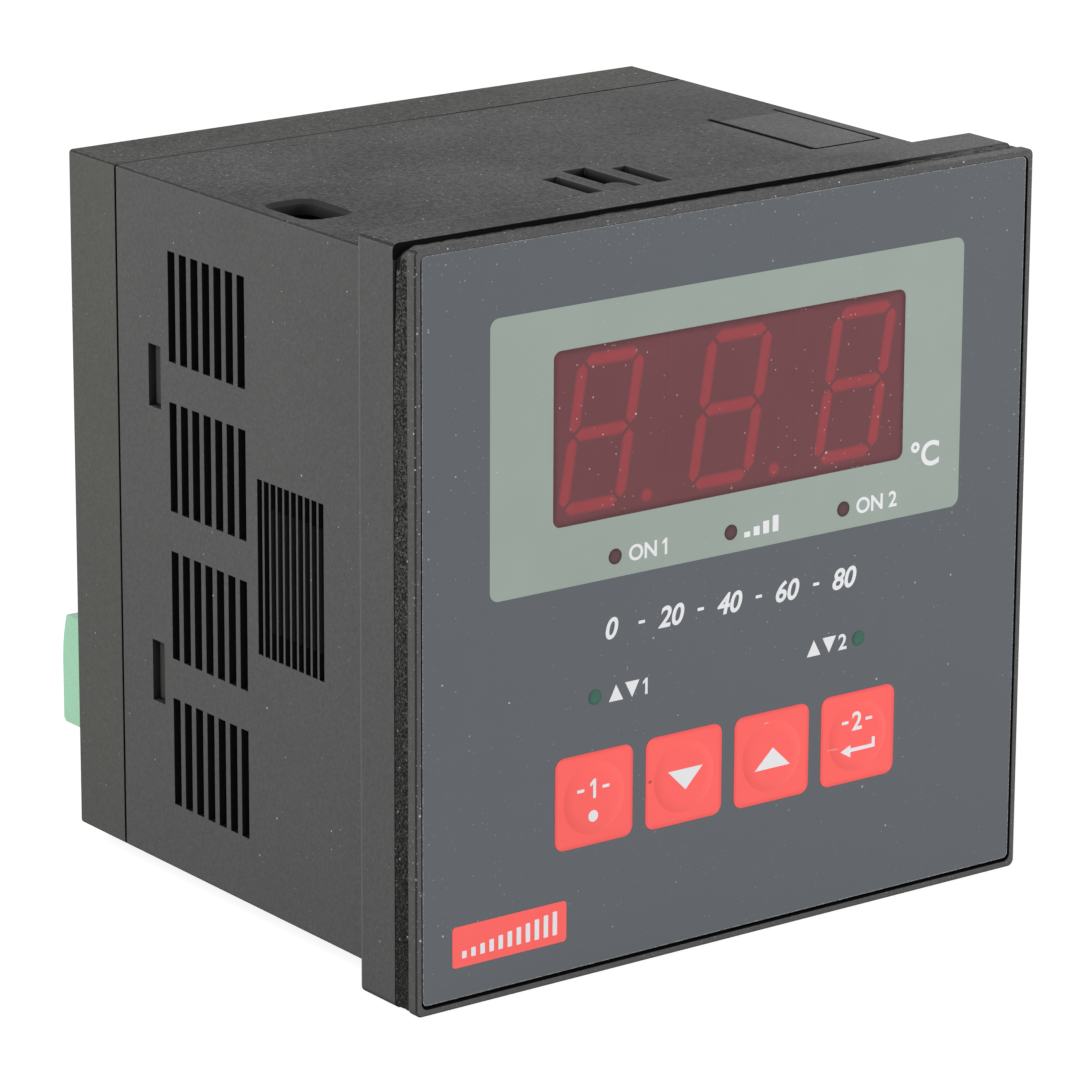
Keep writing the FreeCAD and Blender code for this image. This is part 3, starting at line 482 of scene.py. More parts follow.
def flattened(tree):
    """Place on a flat face, measured across it and along it."""
    steep = 0.7
    place = split(tree, object_place(tree))
    facing = split(tree, flat_normal(tree))
    sideways = above(tree, maths(tree, "ABSOLUTE", facing["X"]), steep)
    level = above(tree, maths(tree, "ABSOLUTE", facing["Z"]), steep)
    x_to_y = maths(tree, "SUBTRACT", place["Y"], place["X"])
    z_to_y = maths(tree, "SUBTRACT", place["Y"], place["Z"])
    across = maths(tree, "MULTIPLY_ADD", sideways, x_to_y, place["X"])
    along = maths(tree, "MULTIPLY_ADD", level, z_to_y, place["Z"])
    return node(tree, "ShaderNodeCombineXYZ", {"X": across, "Y": along}).outputs["Vector"]


def make_dust_group():
    """Specks that lie on the surface in loose clusters, thicker where it faces up."""
    inputs = {"Density": 300.0, "Size": 0.12, "Share": 0.3, "Sides": 0.35}
    group, given, put_out = new_group("dust_specks", inputs, ("Mask",))
    cells = node(
        group,
        "ShaderNodeTexVoronoi",
        {"Vector": flattened(group), "Scale": given.outputs["Density"], "Randomness": 1.0},
        voronoi_dimensions="2D",
        feature="F1",
    )
    chance = node(group, "ShaderNodeSeparateColor", {"Color": cells.outputs["Color"]}).outputs
    cluster = ranged(group, noise_of(group, 42.0, 2.0), 0.38, 0.66, 0.15, 2.0)
    upward = split(group, flat_normal(group))["Z"]
    facing_up = ranged(group, upward, 0.2, 0.8, given.outputs["Sides"], 1.0)
    present = below(group, chance["Red"], all_of(group, given.outputs["Share"], cluster, facing_up))
    spread = maths(group, "MULTIPLY_ADD", maths(group, "POWER", chance["Green"], 3.0), 0.5, 0.5)
    radius = maths(group, "MULTIPLY", given.outputs["Size"], spread)
    speck = ranged(group, cells.outputs["Distance"], maths(group, "MULTIPLY", radius, 0.5), radius, 1.0, 0.0)
    bright = maths(group, "MULTIPLY_ADD", chance["Blue"], 0.6, 0.4)
    group.links.new(all_of(group, speck, present, bright), put_out.inputs["Mask"])


def make_edge_group():
    """Mask along the edges of a solid."""
    group, given, put_out = new_group("edge_line", {"Radius": 0.0003}, ("Mask",))
    rounded = node(group, "ShaderNodeBevel", {"Radius": given.outputs["Radius"]}, samples=6)
    inputs = {0: rounded.outputs["Normal"], 1: flat_normal(group)}
    agree = node(group, "ShaderNodeVectorMath", inputs, operation="DOT_PRODUCT").outputs["Value"]
    group.links.new(ranged(group, agree, 0.99, 0.80), put_out.inputs["Mask"])


def make_crevice_group():
    """Mask for painted shade: one on open surfaces, falling to nothing deep in slots and gaps."""
    group, given, put_out = new_group("crevice_shade", {"Reach": 0.003}, ("Open",))
    around = node(group, "ShaderNodeAmbientOcclusion", {"Distance": given.outputs["Reach"]}, samples=8)
    group.links.new(ranged(group, around.outputs["AO"], 0.18, 0.55), put_out.inputs["Open"])


def new_material(name, roughness, specular=0.5):
    """Material with a bare Principled shader."""
    material = bpy.data.materials.new(name)
    material.use_nodes = True
    tree = material.node_tree
    tree.nodes.clear()
    inputs = {"Roughness": roughness, "Specular IOR Level": specular}
    shader = node(tree, "ShaderNodeBsdfPrincipled", inputs)
    output = tree.nodes.new("ShaderNodeOutputMaterial")
    tree.links.new(shader.outputs["BSDF"], output.inputs["Surface"])
    return material, tree, shader


def paint(tree, shader, skin, shine=None):
    """Colour of a surface, and its roughness where that changes."""
    tree.links.new(skin, shader.inputs["Base Color"])
    if shine is not None:
        tree.links.new(shine, shader.inputs["Roughness"])


def bump(tree, shader, height, depth):
    """Bump of a height on a shader."""
    made = node(tree, "ShaderNodeBump", {"Height": height, "Distance": depth, "Strength": 1.0})
    tree.links.new(made.outputs["Normal"], shader.inputs["Normal"])


def dusted(tree, skin, grains, fine, grain_sides=1.0, fine_sides=1.0):
    """Colour with single dust grains and fine dust over it, as shares of the most there can be."""
    dust = opaque(bpy.context.scene.controller_colours.dust)
    layers = (
        ({"Density": 1500.0, "Size": 0.16, "Share": fine, "Sides": fine_sides}, 0.55),
        ({"Density": 500.0, "Size": 0.09, "Share": grains, "Sides": grain_sides}, 0.95),
    )
    for layer, strength in layers:
        specks = use_group(tree, "dust_specks", layer)["Mask"]
        skin = mixed(tree, maths(tree, "MULTIPLY", specks, strength), skin, dust)
    return skin


# Finishes of the case, the cover and the frame


def axis_values(tree):
    """Place on the surface, with the smaller and the larger of its distances from the middle line."""
    place = split(tree, object_place(tree))
    side = maths(tree, "ABSOLUTE", place["X"])
    height = maths(tree, "ABSOLUTE", place["Z"])
    smaller = maths(tree, "MINIMUM", side, height)
    larger = maths(tree, "MAXIMUM", side, height)
    return Surface(place["X"], place["Y"], place["Z"], smaller, larger)


def depth_below_skin(tree, at):
    """How deep the surface lies below the body's skin."""
    return maths(tree, "SUBTRACT", BODY_HALF, at.larger)


def opening_walls(tree, at):
    """One where the wall of an opening goes down from the body's skin, away from its long corners."""
    away = below(tree, at.smaller, BODY_HALF - 0.6 * MM)
    return all_of(tree, ranged(tree, depth_below_skin(tree, at), 0.004 * MM, 0.06 * MM), away)


def case_recesses(tree, at):
    """Masks of painted shade in the slots, the snap windows, the pocket, the clip and the gap beside the
    foam.
    """
    depth = depth_below_skin(tree, at)
    inside = all_of(tree, opening_walls(tree, at), above(tree, at.y, 0.05 * MM))
    diagonal = maths(tree, "MULTIPLY", at.x, at.z)
    pocket = all_of(
        tree,
        above(tree, at.smaller, POCKET_SIDE),
        below(tree, at.y, POCKET_END),
        below(tree, diagonal, 0.0),
    )
    slot = all_of(tree, inside, maths(tree, "SUBTRACT", 1.0, pocket))
    groove_lip = all_of(
        tree,
        below(tree, apart(tree, maths(tree, "ABSOLUTE", at.x), GROOVE_X), GROOVE_HALF),
        above(tree, diagonal, 0.0),
        between(tree, at.y, *GROOVE_SPAN),
        above(tree, at.larger, BODY_HALF - 0.1 * MM),
    )
    latch_window = all_of(
        tree,
        inside,
        between(tree, at.y, *LATCH_SPAN),
        below(tree, maths(tree, "ABSOLUTE", at.z), BODY_HALF - 1.0 * MM),
    )
    pocket_rim = all_of(tree, inside, pocket)
    flange_gap = all_of(
        tree,
        below(tree, at.y, FLANGE_Y + 0.05 * MM),
        above(tree, at.z, FRONT_HALF - 2.0 * MM),
        ranged(tree, at.x, 40.0 * MM, 28.0 * MM),
    )
    clip_wall = all_of(
        tree,
        inside,
        below(tree, at.smaller, CLIP_HALF),
        below(tree, at.y, CLIP_END),
        ranged(tree, depth, 1.2 * MM, 0.3 * MM),
    )
    return {
        "groove_lip": groove_lip,
        "slot": slot,
        "far_groove": all_of(tree, slot, above(tree, at.smaller, FAR_GROOVE)),
        "latch_window": latch_window,
        "pocket_rim": pocket_rim,
        "pocket_floor": all_of(tree, pocket_rim, ranged(tree, depth, 0.5 * MM, 2.2 * MM)),
        "flange_gap": flange_gap,
        "clip_wall": clip_wall,
    }


def cover_recesses(tree, at):
    """Masks of painted shade on the nibs in the snap windows and in the seam, and of the seam along the top,
    which dust fills.
    """
    seam_start, seam_end = CASE_END - 0.05 * MM, CASE_END + 0.46 * MM
    inside = opening_walls(tree, at)
    seam = all_of(tree, inside, between(tree, at.y, seam_start, seam_end))
    on_top = above(tree, at.z, BODY_HALF - 0.5 * MM)
    return {
        "nib": all_of(tree, inside, below(tree, at.y, seam_start)),
        "seam": seam,
        "dusty_seam": all_of(tree, seam, on_top, ranged(tree, at.x, 18.0 * MM, -8.0 * MM, 0.0, 0.8)),
    }


def frame_recesses(tree, at):
    """Mask of painted shade in the gap between the rim and the printed sheet."""
    inside = below(tree, at.larger, FRONT_HALF - 0.72 * MM)
    return {"sheet_gap": all_of(tree, inside, between(tree, at.y, FRAME_Y + 0.1 * MM, FRAME_Y + 2.0 * MM))}


def case_tone(tree, at, grains):
    """Lightness of the moulding: grain all over; on top also coarse grain, random patches and painted light
    that makes it lighter towards the right end.
    """
    left, right = -42.0 * MM, 40.0 * MM
    pale_start, pale_full, pale_rear = 26.0 * MM, 34.0 * MM, 33.0 * MM
    grain_range = (0.32, 0.68)
    upward = ranged(tree, split(tree, flat_normal(tree))["Z"], 0.5, 0.9)
    coarse = use_group(tree, "moulding_grain", {"Grain": 1900.0, "Mottle": 200.0})["Height"]
    fine = ranged(tree, grains["Height"], *grain_range, -0.10, 0.10)
    rough = all_of(tree, ranged(tree, coarse, *grain_range, -0.30, 0.30), upward)
    patches = ranged(tree, noise_of(tree, 45.0, 3.0), 0.42, 0.70, -0.16, 0.10)
    # Painted light: the top grows lighter towards its right end and more so at its front there.
    slant = ranged(tree, at.x, left, right, -0.12, 0.22)
    painted_light_ramp = ranged(tree, at.x, pale_start, pale_full, 0.0, 0.50)
    painted_light_end = all_of(tree, painted_light_ramp, below(tree, at.y, pale_rear))
    # Random patches plus the painted light, on faces that look up.
    film = all_of(tree, sum_of(tree, patches, slant, painted_light_end), upward)
    return all_of(tree, varied(tree, grains["Mottle"], 0.95, 1.05), sum_of(tree, fine, rough, film, 1.0))


def corner_lines(tree, at):
    """Mask of the dark lines of painted shade along the corners of the body, the flange and the frame."""
    body = all_of(tree, above(tree, at.smaller, BODY_HALF - 0.25 * MM), above(tree, at.y, 0.0))
    flange = above(tree, at.smaller, FRONT_HALF - 0.42 * MM)
    rim = all_of(tree, below(tree, at.y, FRAME_Y + 0.2 * MM), below(tree, at.x, 0.2 * MM - FRONT_HALF))
    return maths(tree, "MAXIMUM", maths(tree, "MAXIMUM", body, flange), rim)


def make_case_finish(name, colour, recesses, grain_sides=0.09, fine_sides=0.04):
    """Dusty charcoal moulding: coarser grain on top, painted shade that blackens the recesses and darkens
    the corners, and painted highlights on some edges.
    """
    material, tree, shader = new_material(name, 0.78, specular=0.15)
    at = axis_values(tree)
    grains = use_group(tree, "moulding_grain", {"Grain": 2300.0, "Mottle": 60.0})
    skin = scaled_colour(tree, colour, case_tone(tree, at, grains))
    # Painted highlight along the flange's rear edge.
    at_seat = below(tree, maths(tree, "ABSOLUTE", at.y), 0.3 * MM)
    seat_highlight = all_of(tree, at_seat, above(tree, at.larger, FRONT_HALF - 0.3 * MM), 0.45)
    skin = mixed(tree, seat_highlight, skin, shade_of(colour, 1.7))
    # Painted shade along the rounded corners.
    skin = mixed(tree, maths(tree, "MULTIPLY", corner_lines(tree, at), 0.85), skin, shade_of(colour, 0.3))
    skin = dusted(tree, skin, grains=0.36, fine=0.55, grain_sides=grain_sides, fine_sides=fine_sides)
    # Painted shade blackens the recesses; dust makes the seam paler along the top.
    for recess, mask in recesses(tree, at).items():
        skin = mixed(tree, mask, skin, shade_of(colour, PAINTED_RECESS_SHADE_AND_DUST[recess]))
    shallow = all_of(
        tree,
        above(tree, at.larger, BODY_HALF - 1.0 * MM),
        below(tree, at.smaller, CLIP_HALF),
        above(tree, at.y, 0.5 * MM),
    )
    near_middle = below(tree, maths(tree, "ABSOLUTE", at.x), CLIP_HALF)
    at_clip = all_of(tree, below(tree, at.y, CLIP_END), near_middle)
    # Painted highlight along the edges of the clip's openings.
    edge = use_group(tree, "edge_line", {"Radius": 0.4 * MM})["Mask"]
    skin = mixed(tree, all_of(tree, edge, shallow, at_clip, 0.8), skin, shade_of(colour, 2.3))
    # Painted shade: the moulding darkens deep in slots and gaps, less so in the shallow clip.
    openness = use_group(tree, "crevice_shade", {"Reach": 4.0 * MM})["Open"]
    openness = maths(tree, "MAXIMUM", openness, maths(tree, "MULTIPLY", shallow, 0.6))
    skin = mixed(tree, openness, shade_of(colour, 0.05), skin)
    paint(tree, shader, skin, varied(tree, grains["Mottle"], 0.73, 0.83))
    bump(tree, shader, grains["Height"], 0.03 * MM)
    return material


# Finishes of the foam, the sheet and the print


def make_foam_finish(colours):
    """Cut closed-cell foam: dark and speckled by its open cells, grey with dust along the top, with painted
    shade towards the bottom and in the crevice by the flange.
    """
    material, tree, shader = new_material("foam", 0.95, specular=0.2)
    surface = object_place(tree)
    place = split(tree, surface)
    cells = node(tree, "ShaderNodeTexVoronoi", {"Vector": surface, "Scale": 2600.0, "Randomness": 1.0})
    pores = ranged(tree, cells.outputs["Distance"], 0.1, 0.75, 0.35, 1.5)
    light = ranged(tree, noise_of(tree, 3200.0, 2.0, 0.7), 0.42, 0.72, 0.45, 4.2)
    # Painted shade: the foam darkens towards the bottom.
    lower_painted_shade = ranged(tree, place["Z"], -40.0 * MM, 0.0, 0.6, 1.18)
    skin = scaled_colour(tree, colours.foam, all_of(tree, light, pores, lower_painted_shade))
    skin = dusted(tree, skin, grains=0.25, fine=0.12)
    on_top = above(tree, place["Z"], FRONT_HALF - 1.5 * MM)
    dusty = all_of(tree, on_top, ranged(tree, place["X"], 20.0 * MM, 38.0 * MM, 0.75, 1.0))
    unbroken = ranged(tree, noise_of(tree, 1100.0, 3.0, 0.7), 0.40, 0.52)
    skin = mixed(tree, all_of(tree, dusty, unbroken), skin, shade_of(colours.case, 1.25))
    # Painted shade in the crevice between the foam and the flange along the top.
    at_flange = ranged(tree, place["Y"], FLANGE_Y - 1.5 * MM, FLANGE_Y - 1.15 * MM, 0.0, 0.95)
    upper = above(tree, place["Z"], FRONT_HALF - 3.0 * MM)
    shaded = all_of(tree, at_flange, upper, ranged(tree, place["X"], 36.0 * MM, 24.0 * MM))
    skin = mixed(tree, shaded, skin, shade_of(colours.foam, 0.1))
    paint(tree, shader, skin)
    bump(tree, shader, cells.outputs["Distance"], 0.08 * MM)
    return material


def make_overlay_finish(colours):
    """Slate grey printed sheet: satin, lightly dusty, with a pale broken line along its cut edge and painted
    shade on its side walls.
    """
    material, tree, shader = new_material("overlay_print", 0.46)
    grains = use_group(tree, "moulding_grain", {"Grain": 3800.0, "Mottle": 45.0})
    skin = scaled_colour(tree, colours.overlay, varied(tree, grains["Mottle"], 0.975, 1.025))
    skin = dusted(tree, skin, grains=0.035, fine=0.06)
    upper = ranged(tree, split(tree, object_place(tree))["Z"], 43.5 * MM, 47.0 * MM)
    skin = mixed(tree, upper, skin, dusted(tree, skin, grains=0.25, fine=0.3))
    rim = use_group(tree, "edge_line", {"Radius": 0.26 * MM})["Mask"]
    chalk = ranged(tree, noise_of(tree, 5200.0, 1.0), 0.40, 0.60, 0.1, 0.9)
    skin = mixed(tree, maths(tree, "MULTIPLY", rim, chalk), skin, opaque(colours.cut_edge))
    # Painted shade on the sheet's side walls, which lie in the gap at the rim.
    frontal = maths(tree, "ABSOLUTE", split(tree, flat_normal(tree))["Y"])
    skin = mixed(tree, ranged(tree, frontal, 0.6, 0.4), skin, shade_of(colours.overlay, 0.1))
    paint(tree, shader, skin, varied(tree, grains["Mottle"], 0.43, 0.50))
    bump(tree, shader, grains["Height"], 0.003 * MM)
    return material


def make_ink_finish(name, colour, roughness=0.5, specks=0.06):
    """Printed ink: satin, a little uneven, with the odd dust speck."""
    material, tree, shader = new_material(name, roughness)
    grains = use_group(tree, "moulding_grain", {"Grain": 3800.0, "Mottle": 60.0})
    skin = scaled_colour(tree, colour, varied(tree, grains["Mottle"], 0.97, 1.03))
    skin = dusted(tree, skin, grains=specks, fine=0.3 * specks)
    paint(tree, shader, skin, varied(tree, grains["Height"], roughness - 0.04, roughness + 0.04))
    bump(tree, shader, grains["Height"], 0.003 * MM)
    return material


def spot(tree, place, centre, reach):
    """Soft oval mask at a place on the front, in millimetres."""
    squares = []
    for value, middle, half in zip((place["X"], place["Z"]), centre, reach):
        offset = maths(tree, "SUBTRACT", value, middle * MM)
        squares.append(maths(tree, "POWER", maths(tree, "DIVIDE", offset, half * MM), 2.0))
    return ranged(tree, maths(tree, "ADD", *squares), 1.0, 0.4)


def make_key_finish(sizes, colours):
    """Coral film: satin, deeper red along its edge, with a dark spot and two pale scuffs."""
    material, tree, shader = new_material("key_film", 0.40)
    colour = colours.key_red
    grains = use_group(tree, "moulding_grain", {"Grain": 3800.0, "Mottle": 60.0})
    place = split(tree, object_place(tree))
    first = centre_of(KEYS[0])
    pitch = centre_of(KEYS[1]).x - first.x
    across = maths(tree, "ABSOLUTE", within_pitch(tree, place["X"], first.x, pitch))
    outward = maths(tree, "MAXIMUM", across, apart(tree, place["Z"], first.z))
    rim = ranged(tree, outward, sizes.square / 2 - 0.55 * MM, sizes.square / 2, 0.0, 0.8)
    skin = scaled_colour(tree, colour, varied(tree, grains["Mottle"], 0.97, 1.03))
    deep_red = (0.82 * colour[0], 0.62 * colour[1], 0.72 * colour[2], 1.0)
    skin = dusted(tree, mixed(tree, rim, skin, deep_red), grains=0.01, fine=0.003)
    # Centre and reach of each mark in millimetres, with its strength and colour
    marks = (
        ((-12.27, -24.67), (0.30, 0.26), 0.8, colours.key_spot),
        ((6.07, -20.48), (0.45, 0.12), 0.5, colours.key_scuff),
        ((16.95, -26.1), (1.0, 0.14), 0.5, colours.key_scuff),
    )
    for centre, reach, strength, shade in marks:
        mask = maths(tree, "MULTIPLY", spot(tree, place, centre, reach), strength)
        skin = mixed(tree, mask, skin, opaque(shade))
    paint(tree, shader, skin, varied(tree, grains["Height"], 0.36, 0.44))
    bump(tree, shader, grains["Height"], 0.003 * MM)
    return material


# Finishes of the display and the lamps


def make_window_finish(colours):
    """Tinted window: a smoky red skin on its front with scattered dust, and painted shade that makes it a
    little darker round its border.
    """
    material, tree, shader = new_material("window_red", 0.34)
    grains = use_group(tree, "moulding_grain", {"Grain": 3200.0, "Mottle": 60.0})
    low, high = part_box("display_window")
    middle, half = (low + high) / 2, (high - low) / 2
    place = split(tree, object_place(tree))
    inset_x = maths(tree, "SUBTRACT", half.x, apart(tree, place["X"], middle.x))
    inset_z = maths(tree, "SUBTRACT", half.z, apart(tree, place["Z"], middle.z))
    inset = maths(tree, "SMOOTH_MIN", inset_x, inset_z, 0.6 * MM)
    # Painted shade round the border, where the sheet's edge shadows the window.
    border = ranged(tree, inset, 0.1 * MM, 0.9 * MM, 0.62, 1.0, smooth=True)
    tone = all_of(tree, border, varied(tree, grains["Mottle"], 0.96, 1.04))
    skin = scaled_colour(tree, colours.window, tone)
    fine = {"Density": 1500.0, "Size": 0.22, "Share": 0.05, "Sides": 1.0}
    grit = {"Density": 600.0, "Size": 0.12, "Share": 0.09, "Sides": 1.0}
    layers = [use_group(tree, "dust_specks", layer)["Mask"] for layer in (fine, grit)]
    specks = maths(tree, "MAXIMUM", *layers)
    paint(tree, shader, mixed(tree, specks, skin, opaque(colours.dust)))
    front = below(tree, place["Y"], FRONT_Y + 0.05 * MM)
    cover = all_of(tree, front, ranged(tree, specks, 0.0, 1.0, 0.55, 0.97))
    tree.links.new(cover, shader.inputs["Alpha"])
    bump(tree, shader, grains["Height"], 0.002 * MM)
    return material


def segment_inset(tree, sizes):
    """How far inside a bar or a point of its digit the surface lies."""
    mitre = 0.7
    middle = centre_of(DIGITS[1])
    pitch = centre_of(DIGITS[2]).x - middle.x
    place = split(tree, object_place(tree))
    across = within_pitch(tree, place["X"], middle.x, pitch)
    rise = maths(tree, "SUBTRACT", place["Z"], middle.z)
    upright = maths(tree, "SUBTRACT", across, maths(tree, "MULTIPLY", rise, math.tan(sizes.slant)))
    from_side = apart(tree, maths(tree, "ABSOLUTE", upright), sizes.half_width)
    height = maths(tree, "ABSOLUTE", rise)
    from_level = maths(tree, "MINIMUM", apart(tree, height, sizes.half_height), height)
    flank = maths(tree, "SUBTRACT", sizes.bar / 2, maths(tree, "MINIMUM", from_side, from_level))
    tip = maths(tree, "MULTIPLY", apart(tree, from_side, from_level), mitre)
    bar = maths(tree, "MINIMUM", flank, tip)
    point_x = maths(tree, "SUBTRACT", across, sizes.point_x)
    point_z = maths(tree, "ADD", rise, sizes.point_drop)
    point = maths(tree, "SUBTRACT", sizes.bar / 2, length_of(tree, point_x, point_z))
    low_down = below(tree, rise, sizes.bar - sizes.half_height)
    beside = all_of(tree, above(tree, across, sizes.point_x - sizes.bar), low_down)
    return maths(tree, "ADD", all_of(tree, beside, maths(tree, "SUBTRACT", point, bar)), bar)


def make_lens_finish(sizes, colour):
    """Diffusing segment lens: brightest along its middle, fading softly into the dark housing."""
    material, tree, shader = new_material("segment_lens", 0.45, specular=0.1)
    grains = use_group(tree, "moulding_grain", {"Grain": 1500.0, "Mottle": 400.0})
    cloud = varied(tree, grains["Mottle"], 0.93, 1.07)
    glow = ranged(tree, segment_inset(tree, sizes), 0.0, sizes.fade, 0.25, 1.0)
    paint(tree, shader, scaled_colour(tree, colour, maths(tree, "MULTIPLY", cloud, glow)))
    bump(tree, shader, grains["Height"], 0.0008 * MM)
    return material


def make_lamp_finish(name, sizes, colour, rim_shade):
    """Unlit lamp seen through the sheet: coloured in the middle, darker at its rim."""
    material, tree, shader = new_material(name, 0.28)
    place = split(tree, object_place(tree))
    radius = length_of(tree, place["X"], place["Z"])
    grains = use_group(tree, "moulding_grain", {"Grain": 3000.0, "Mottle": 900.0})
    cloud = varied(tree, grains["Mottle"], 0.85, 1.15)
    rim = ranged(tree, radius, sizes.clear, sizes.dark, 1.0, rim_shade, smooth=True)
    paint(tree, shader, scaled_colour(tree, colour, maths(tree, "MULTIPLY", rim, cloud)))
    bump(tree, shader, grains["Height"], 0.002 * MM)
    return material


# Finishes of the terminals and of the pieces inside


def moulded(name, colour, roughness, depth=0.006 * MM, spread=0.08, specular=0.5):
    """Plain moulded plastic: fine grain and broad mottling."""
    material, tree, shader = new_material(name, roughness, specular)
    grains = use_group(tree, "moulding_grain", {"Grain": 2600.0, "Mottle": 70.0})
    tone = varied(tree, grains["Mottle"], 1.0 - spread, 1.0 + spread)
    fine = ranged(tree, grains["Height"], 0.25, 0.75, 0.93, 1.07)
    skin = scaled_colour(tree, colour, maths(tree, "MULTIPLY", tone, fine))
    paint(tree, shader, skin, ranged(tree, grains["Mottle"], 0.25, 0.75, roughness - 0.06, roughness + 0.06))
    bump(tree, shader, grains["Height"], depth)
    return material


def make_tinned_finish(colour):
    """Tinned metal, a little uneven."""
    material, tree, shader = new_material("tinned_metal", 0.32)
    shader.inputs["Metallic"].default_value = 1.0
    grains = use_group(tree, "moulding_grain", {"Grain": 5200.0, "Mottle": 600.0})
    skin = scaled_colour(tree, colour, varied(tree, grains["Mottle"], 0.85, 1.1))
    paint(tree, shader, skin, varied(tree, grains["Height"], 0.24, 0.42))
    bump(tree, shader, grains["Height"], 0.003 * MM)
    return material


def make_banded_finish(name, colour, roughness, metallic, pitch, axis):
    """Stacked sheets or wound wire: fine bands along one axis."""
    material, tree, shader = new_material(name, roughness)
    shader.inputs["Metallic"].default_value = metallic
    bands = node(
        tree,
        "ShaderNodeTexWave",
        {"Vector": object_place(tree), "Scale": math.pi / (10.0 * pitch), "Distortion": 0.4, "Detail": 1.0},
        wave_type="BANDS",
        bands_direction=axis,
    ).outputs["Fac"]
    paint(tree, shader, scaled_colour(tree, colour, ranged(tree, bands, 0.0, 0.6, 0.45, 1.05)))
    bump(tree, shader, bands, 0.05 * MM)
    return material


def make_board_finish(colours):
    """Green solder mask over copper tracks."""
    material, tree, shader = new_material("board", 0.35)
    tracks = node(
        tree,
        "ShaderNodeTexBrick",
        {
            "Vector": object_place(tree),
            "Scale": 120.0,
            "Mortar Size": 0.06,
            "Brick Width": 1.4,
            "Row Height": 0.22,
        },
    ).outputs["Fac"]
    grains = use_group(tree, "moulding_grain", {"Grain": 2000.0, "Mottle": 150.0})
    mask = scaled_colour(tree, colours.board, varied(tree, grains["Mottle"], 0.85, 1.15))
    paint(tree, shader, mixed(tree, tracks, mask, opaque(colours.track)))
    bump(tree, shader, tracks, 0.03 * MM)
    return material


# Mesh helpers


def clamped(value, low, high):
    """Share of the way from low to high, from 0 to 1."""
    return min(1.0, max(0.0, (value - low) / (high - low)))


def rounded_outline(low, high, radius, straight=1, turn=8):
    """Outline of a rounded rectangle in X and Z, anticlockwise as seen from the front."""
    corners = (
        (high[0] - radius, low[1] + radius, -90.0),
        (high[0] - radius, high[1] - radius, 0.0),
        (low[0] + radius, high[1] - radius, 90.0),
        (low[0] + radius, low[1] + radius, 180.0),
    )
    arcs = []
    for x, z, start in corners:
        angles = [math.radians(start + 90.0 * step / turn) for step in range(turn + 1)]
        arcs.append([(x + radius * math.cos(angle), z + radius * math.sin(angle)) for angle in angles])
    outline = []
    for arc, following in zip(arcs, arcs[1:] + arcs[:1]):
        outline += arc
        (x0, z0), (x1, z1) = arc[-1], following[0]
        for step in range(1, straight):
            share = step / straight
            outline.append((x0 + (x1 - x0) * share, z0 + (z1 - z0) * share))
    return outline


def small_bar(low, high):
    """Outline of a small printed bar."""
    return rounded_outline(low, high, BAR_RADIUS, turn=3)


def round_outline(x, z, radius, steps=48):
    """Outline of a circle in X and Z."""
    angles = [2 * math.pi * step / steps for step in range(steps)]
    return [(x + radius * math.cos(angle), z + radius * math.sin(angle)) for angle in angles]


def numeral_one(left, foot, height):
    """Outline of a plain 1 with a flag."""
    return [(left + x * height, foot + z * height) for x, z in ONE_SHAPE]


def finished_object(name, mesh_builder, material, smooth=False):
    """Object of a finished mesh, with its normals facing out and its sharp edges kept."""
    bmesh.ops.remove_doubles(mesh_builder, verts=mesh_builder.verts, dist=1e-8)
    bmesh.ops.recalc_face_normals(mesh_builder, faces=mesh_builder.faces)
    mesh = bpy.data.meshes.new(name)
    mesh_builder.to_mesh(mesh)
    mesh_builder.free()
    for face in mesh.polygons:
        face.use_smooth = smooth
    if smooth:
        mesh.set_sharp_from_angle(angle=math.radians(50.0))
    mesh.materials.append(material)
    made = bpy.data.objects.new(name, mesh)
    bpy.context.scene.collection.objects.link(made)
    return made


def bridge(builder, first, second):
    """Band of faces between two closed loops of vertices."""
    count = len(first)
    for index in range(count):
        following = (index + 1) % count
        builder.faces.new((first[index], first[following], second[following], second[index]))


def bridge_ring(builder, loops):
    """Bands of faces from loop to loop and back to the first."""
    for first, second in zip(loops, loops[1:] + loops[:1]):
        bridge(builder, first, second)


def loop_at(builder, outline, y):
    """Loop of vertices along an outline, at one depth."""
    return [builder.verts.new((x, y, z)) for x, z in outline]


def add_plate(builder, outline, rear, front):
    """Closed thin plate of an outline."""
    back = loop_at(builder, outline, rear)
    face = loop_at(builder, outline, front)
    bridge(builder, back, face)
    builder.faces.new(back)
    builder.faces.new(face)


def printed(name, outlines, material, layer=1, body=HOUSING, base=FRONT_Y):
    """Printed patches on a flat face, each a thin closed plate."""
    ink = bpy.context.scene.controller_print.ink
    builder = bmesh.new()
    for outline in outlines:
        add_plate(builder, outline, base, base - layer * ink)
    piece = finished_object(name, builder, material)
    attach(piece, body)
    return piece


def text_mesh(name, text, slant, weight):
    """Mesh of a text, half a unit thick to each side of its plane."""
    curve = bpy.data.curves.new(name, "FONT")
    curve.body = text
    curve.shear = slant
    curve.offset = weight
    curve.extrude = 0.5
    curve.resolution_u = 6
    writer = bpy.data.objects.new(name, curve)
    bpy.context.scene.collection.objects.link(writer)
    bpy.context.view_layer.update()
    mesh = bpy.data.meshes.new_from_object(writer.evaluated_get(bpy.context.evaluated_depsgraph_get()))
    bpy.data.objects.remove(writer)
    bpy.data.curves.remove(curve)
    return mesh


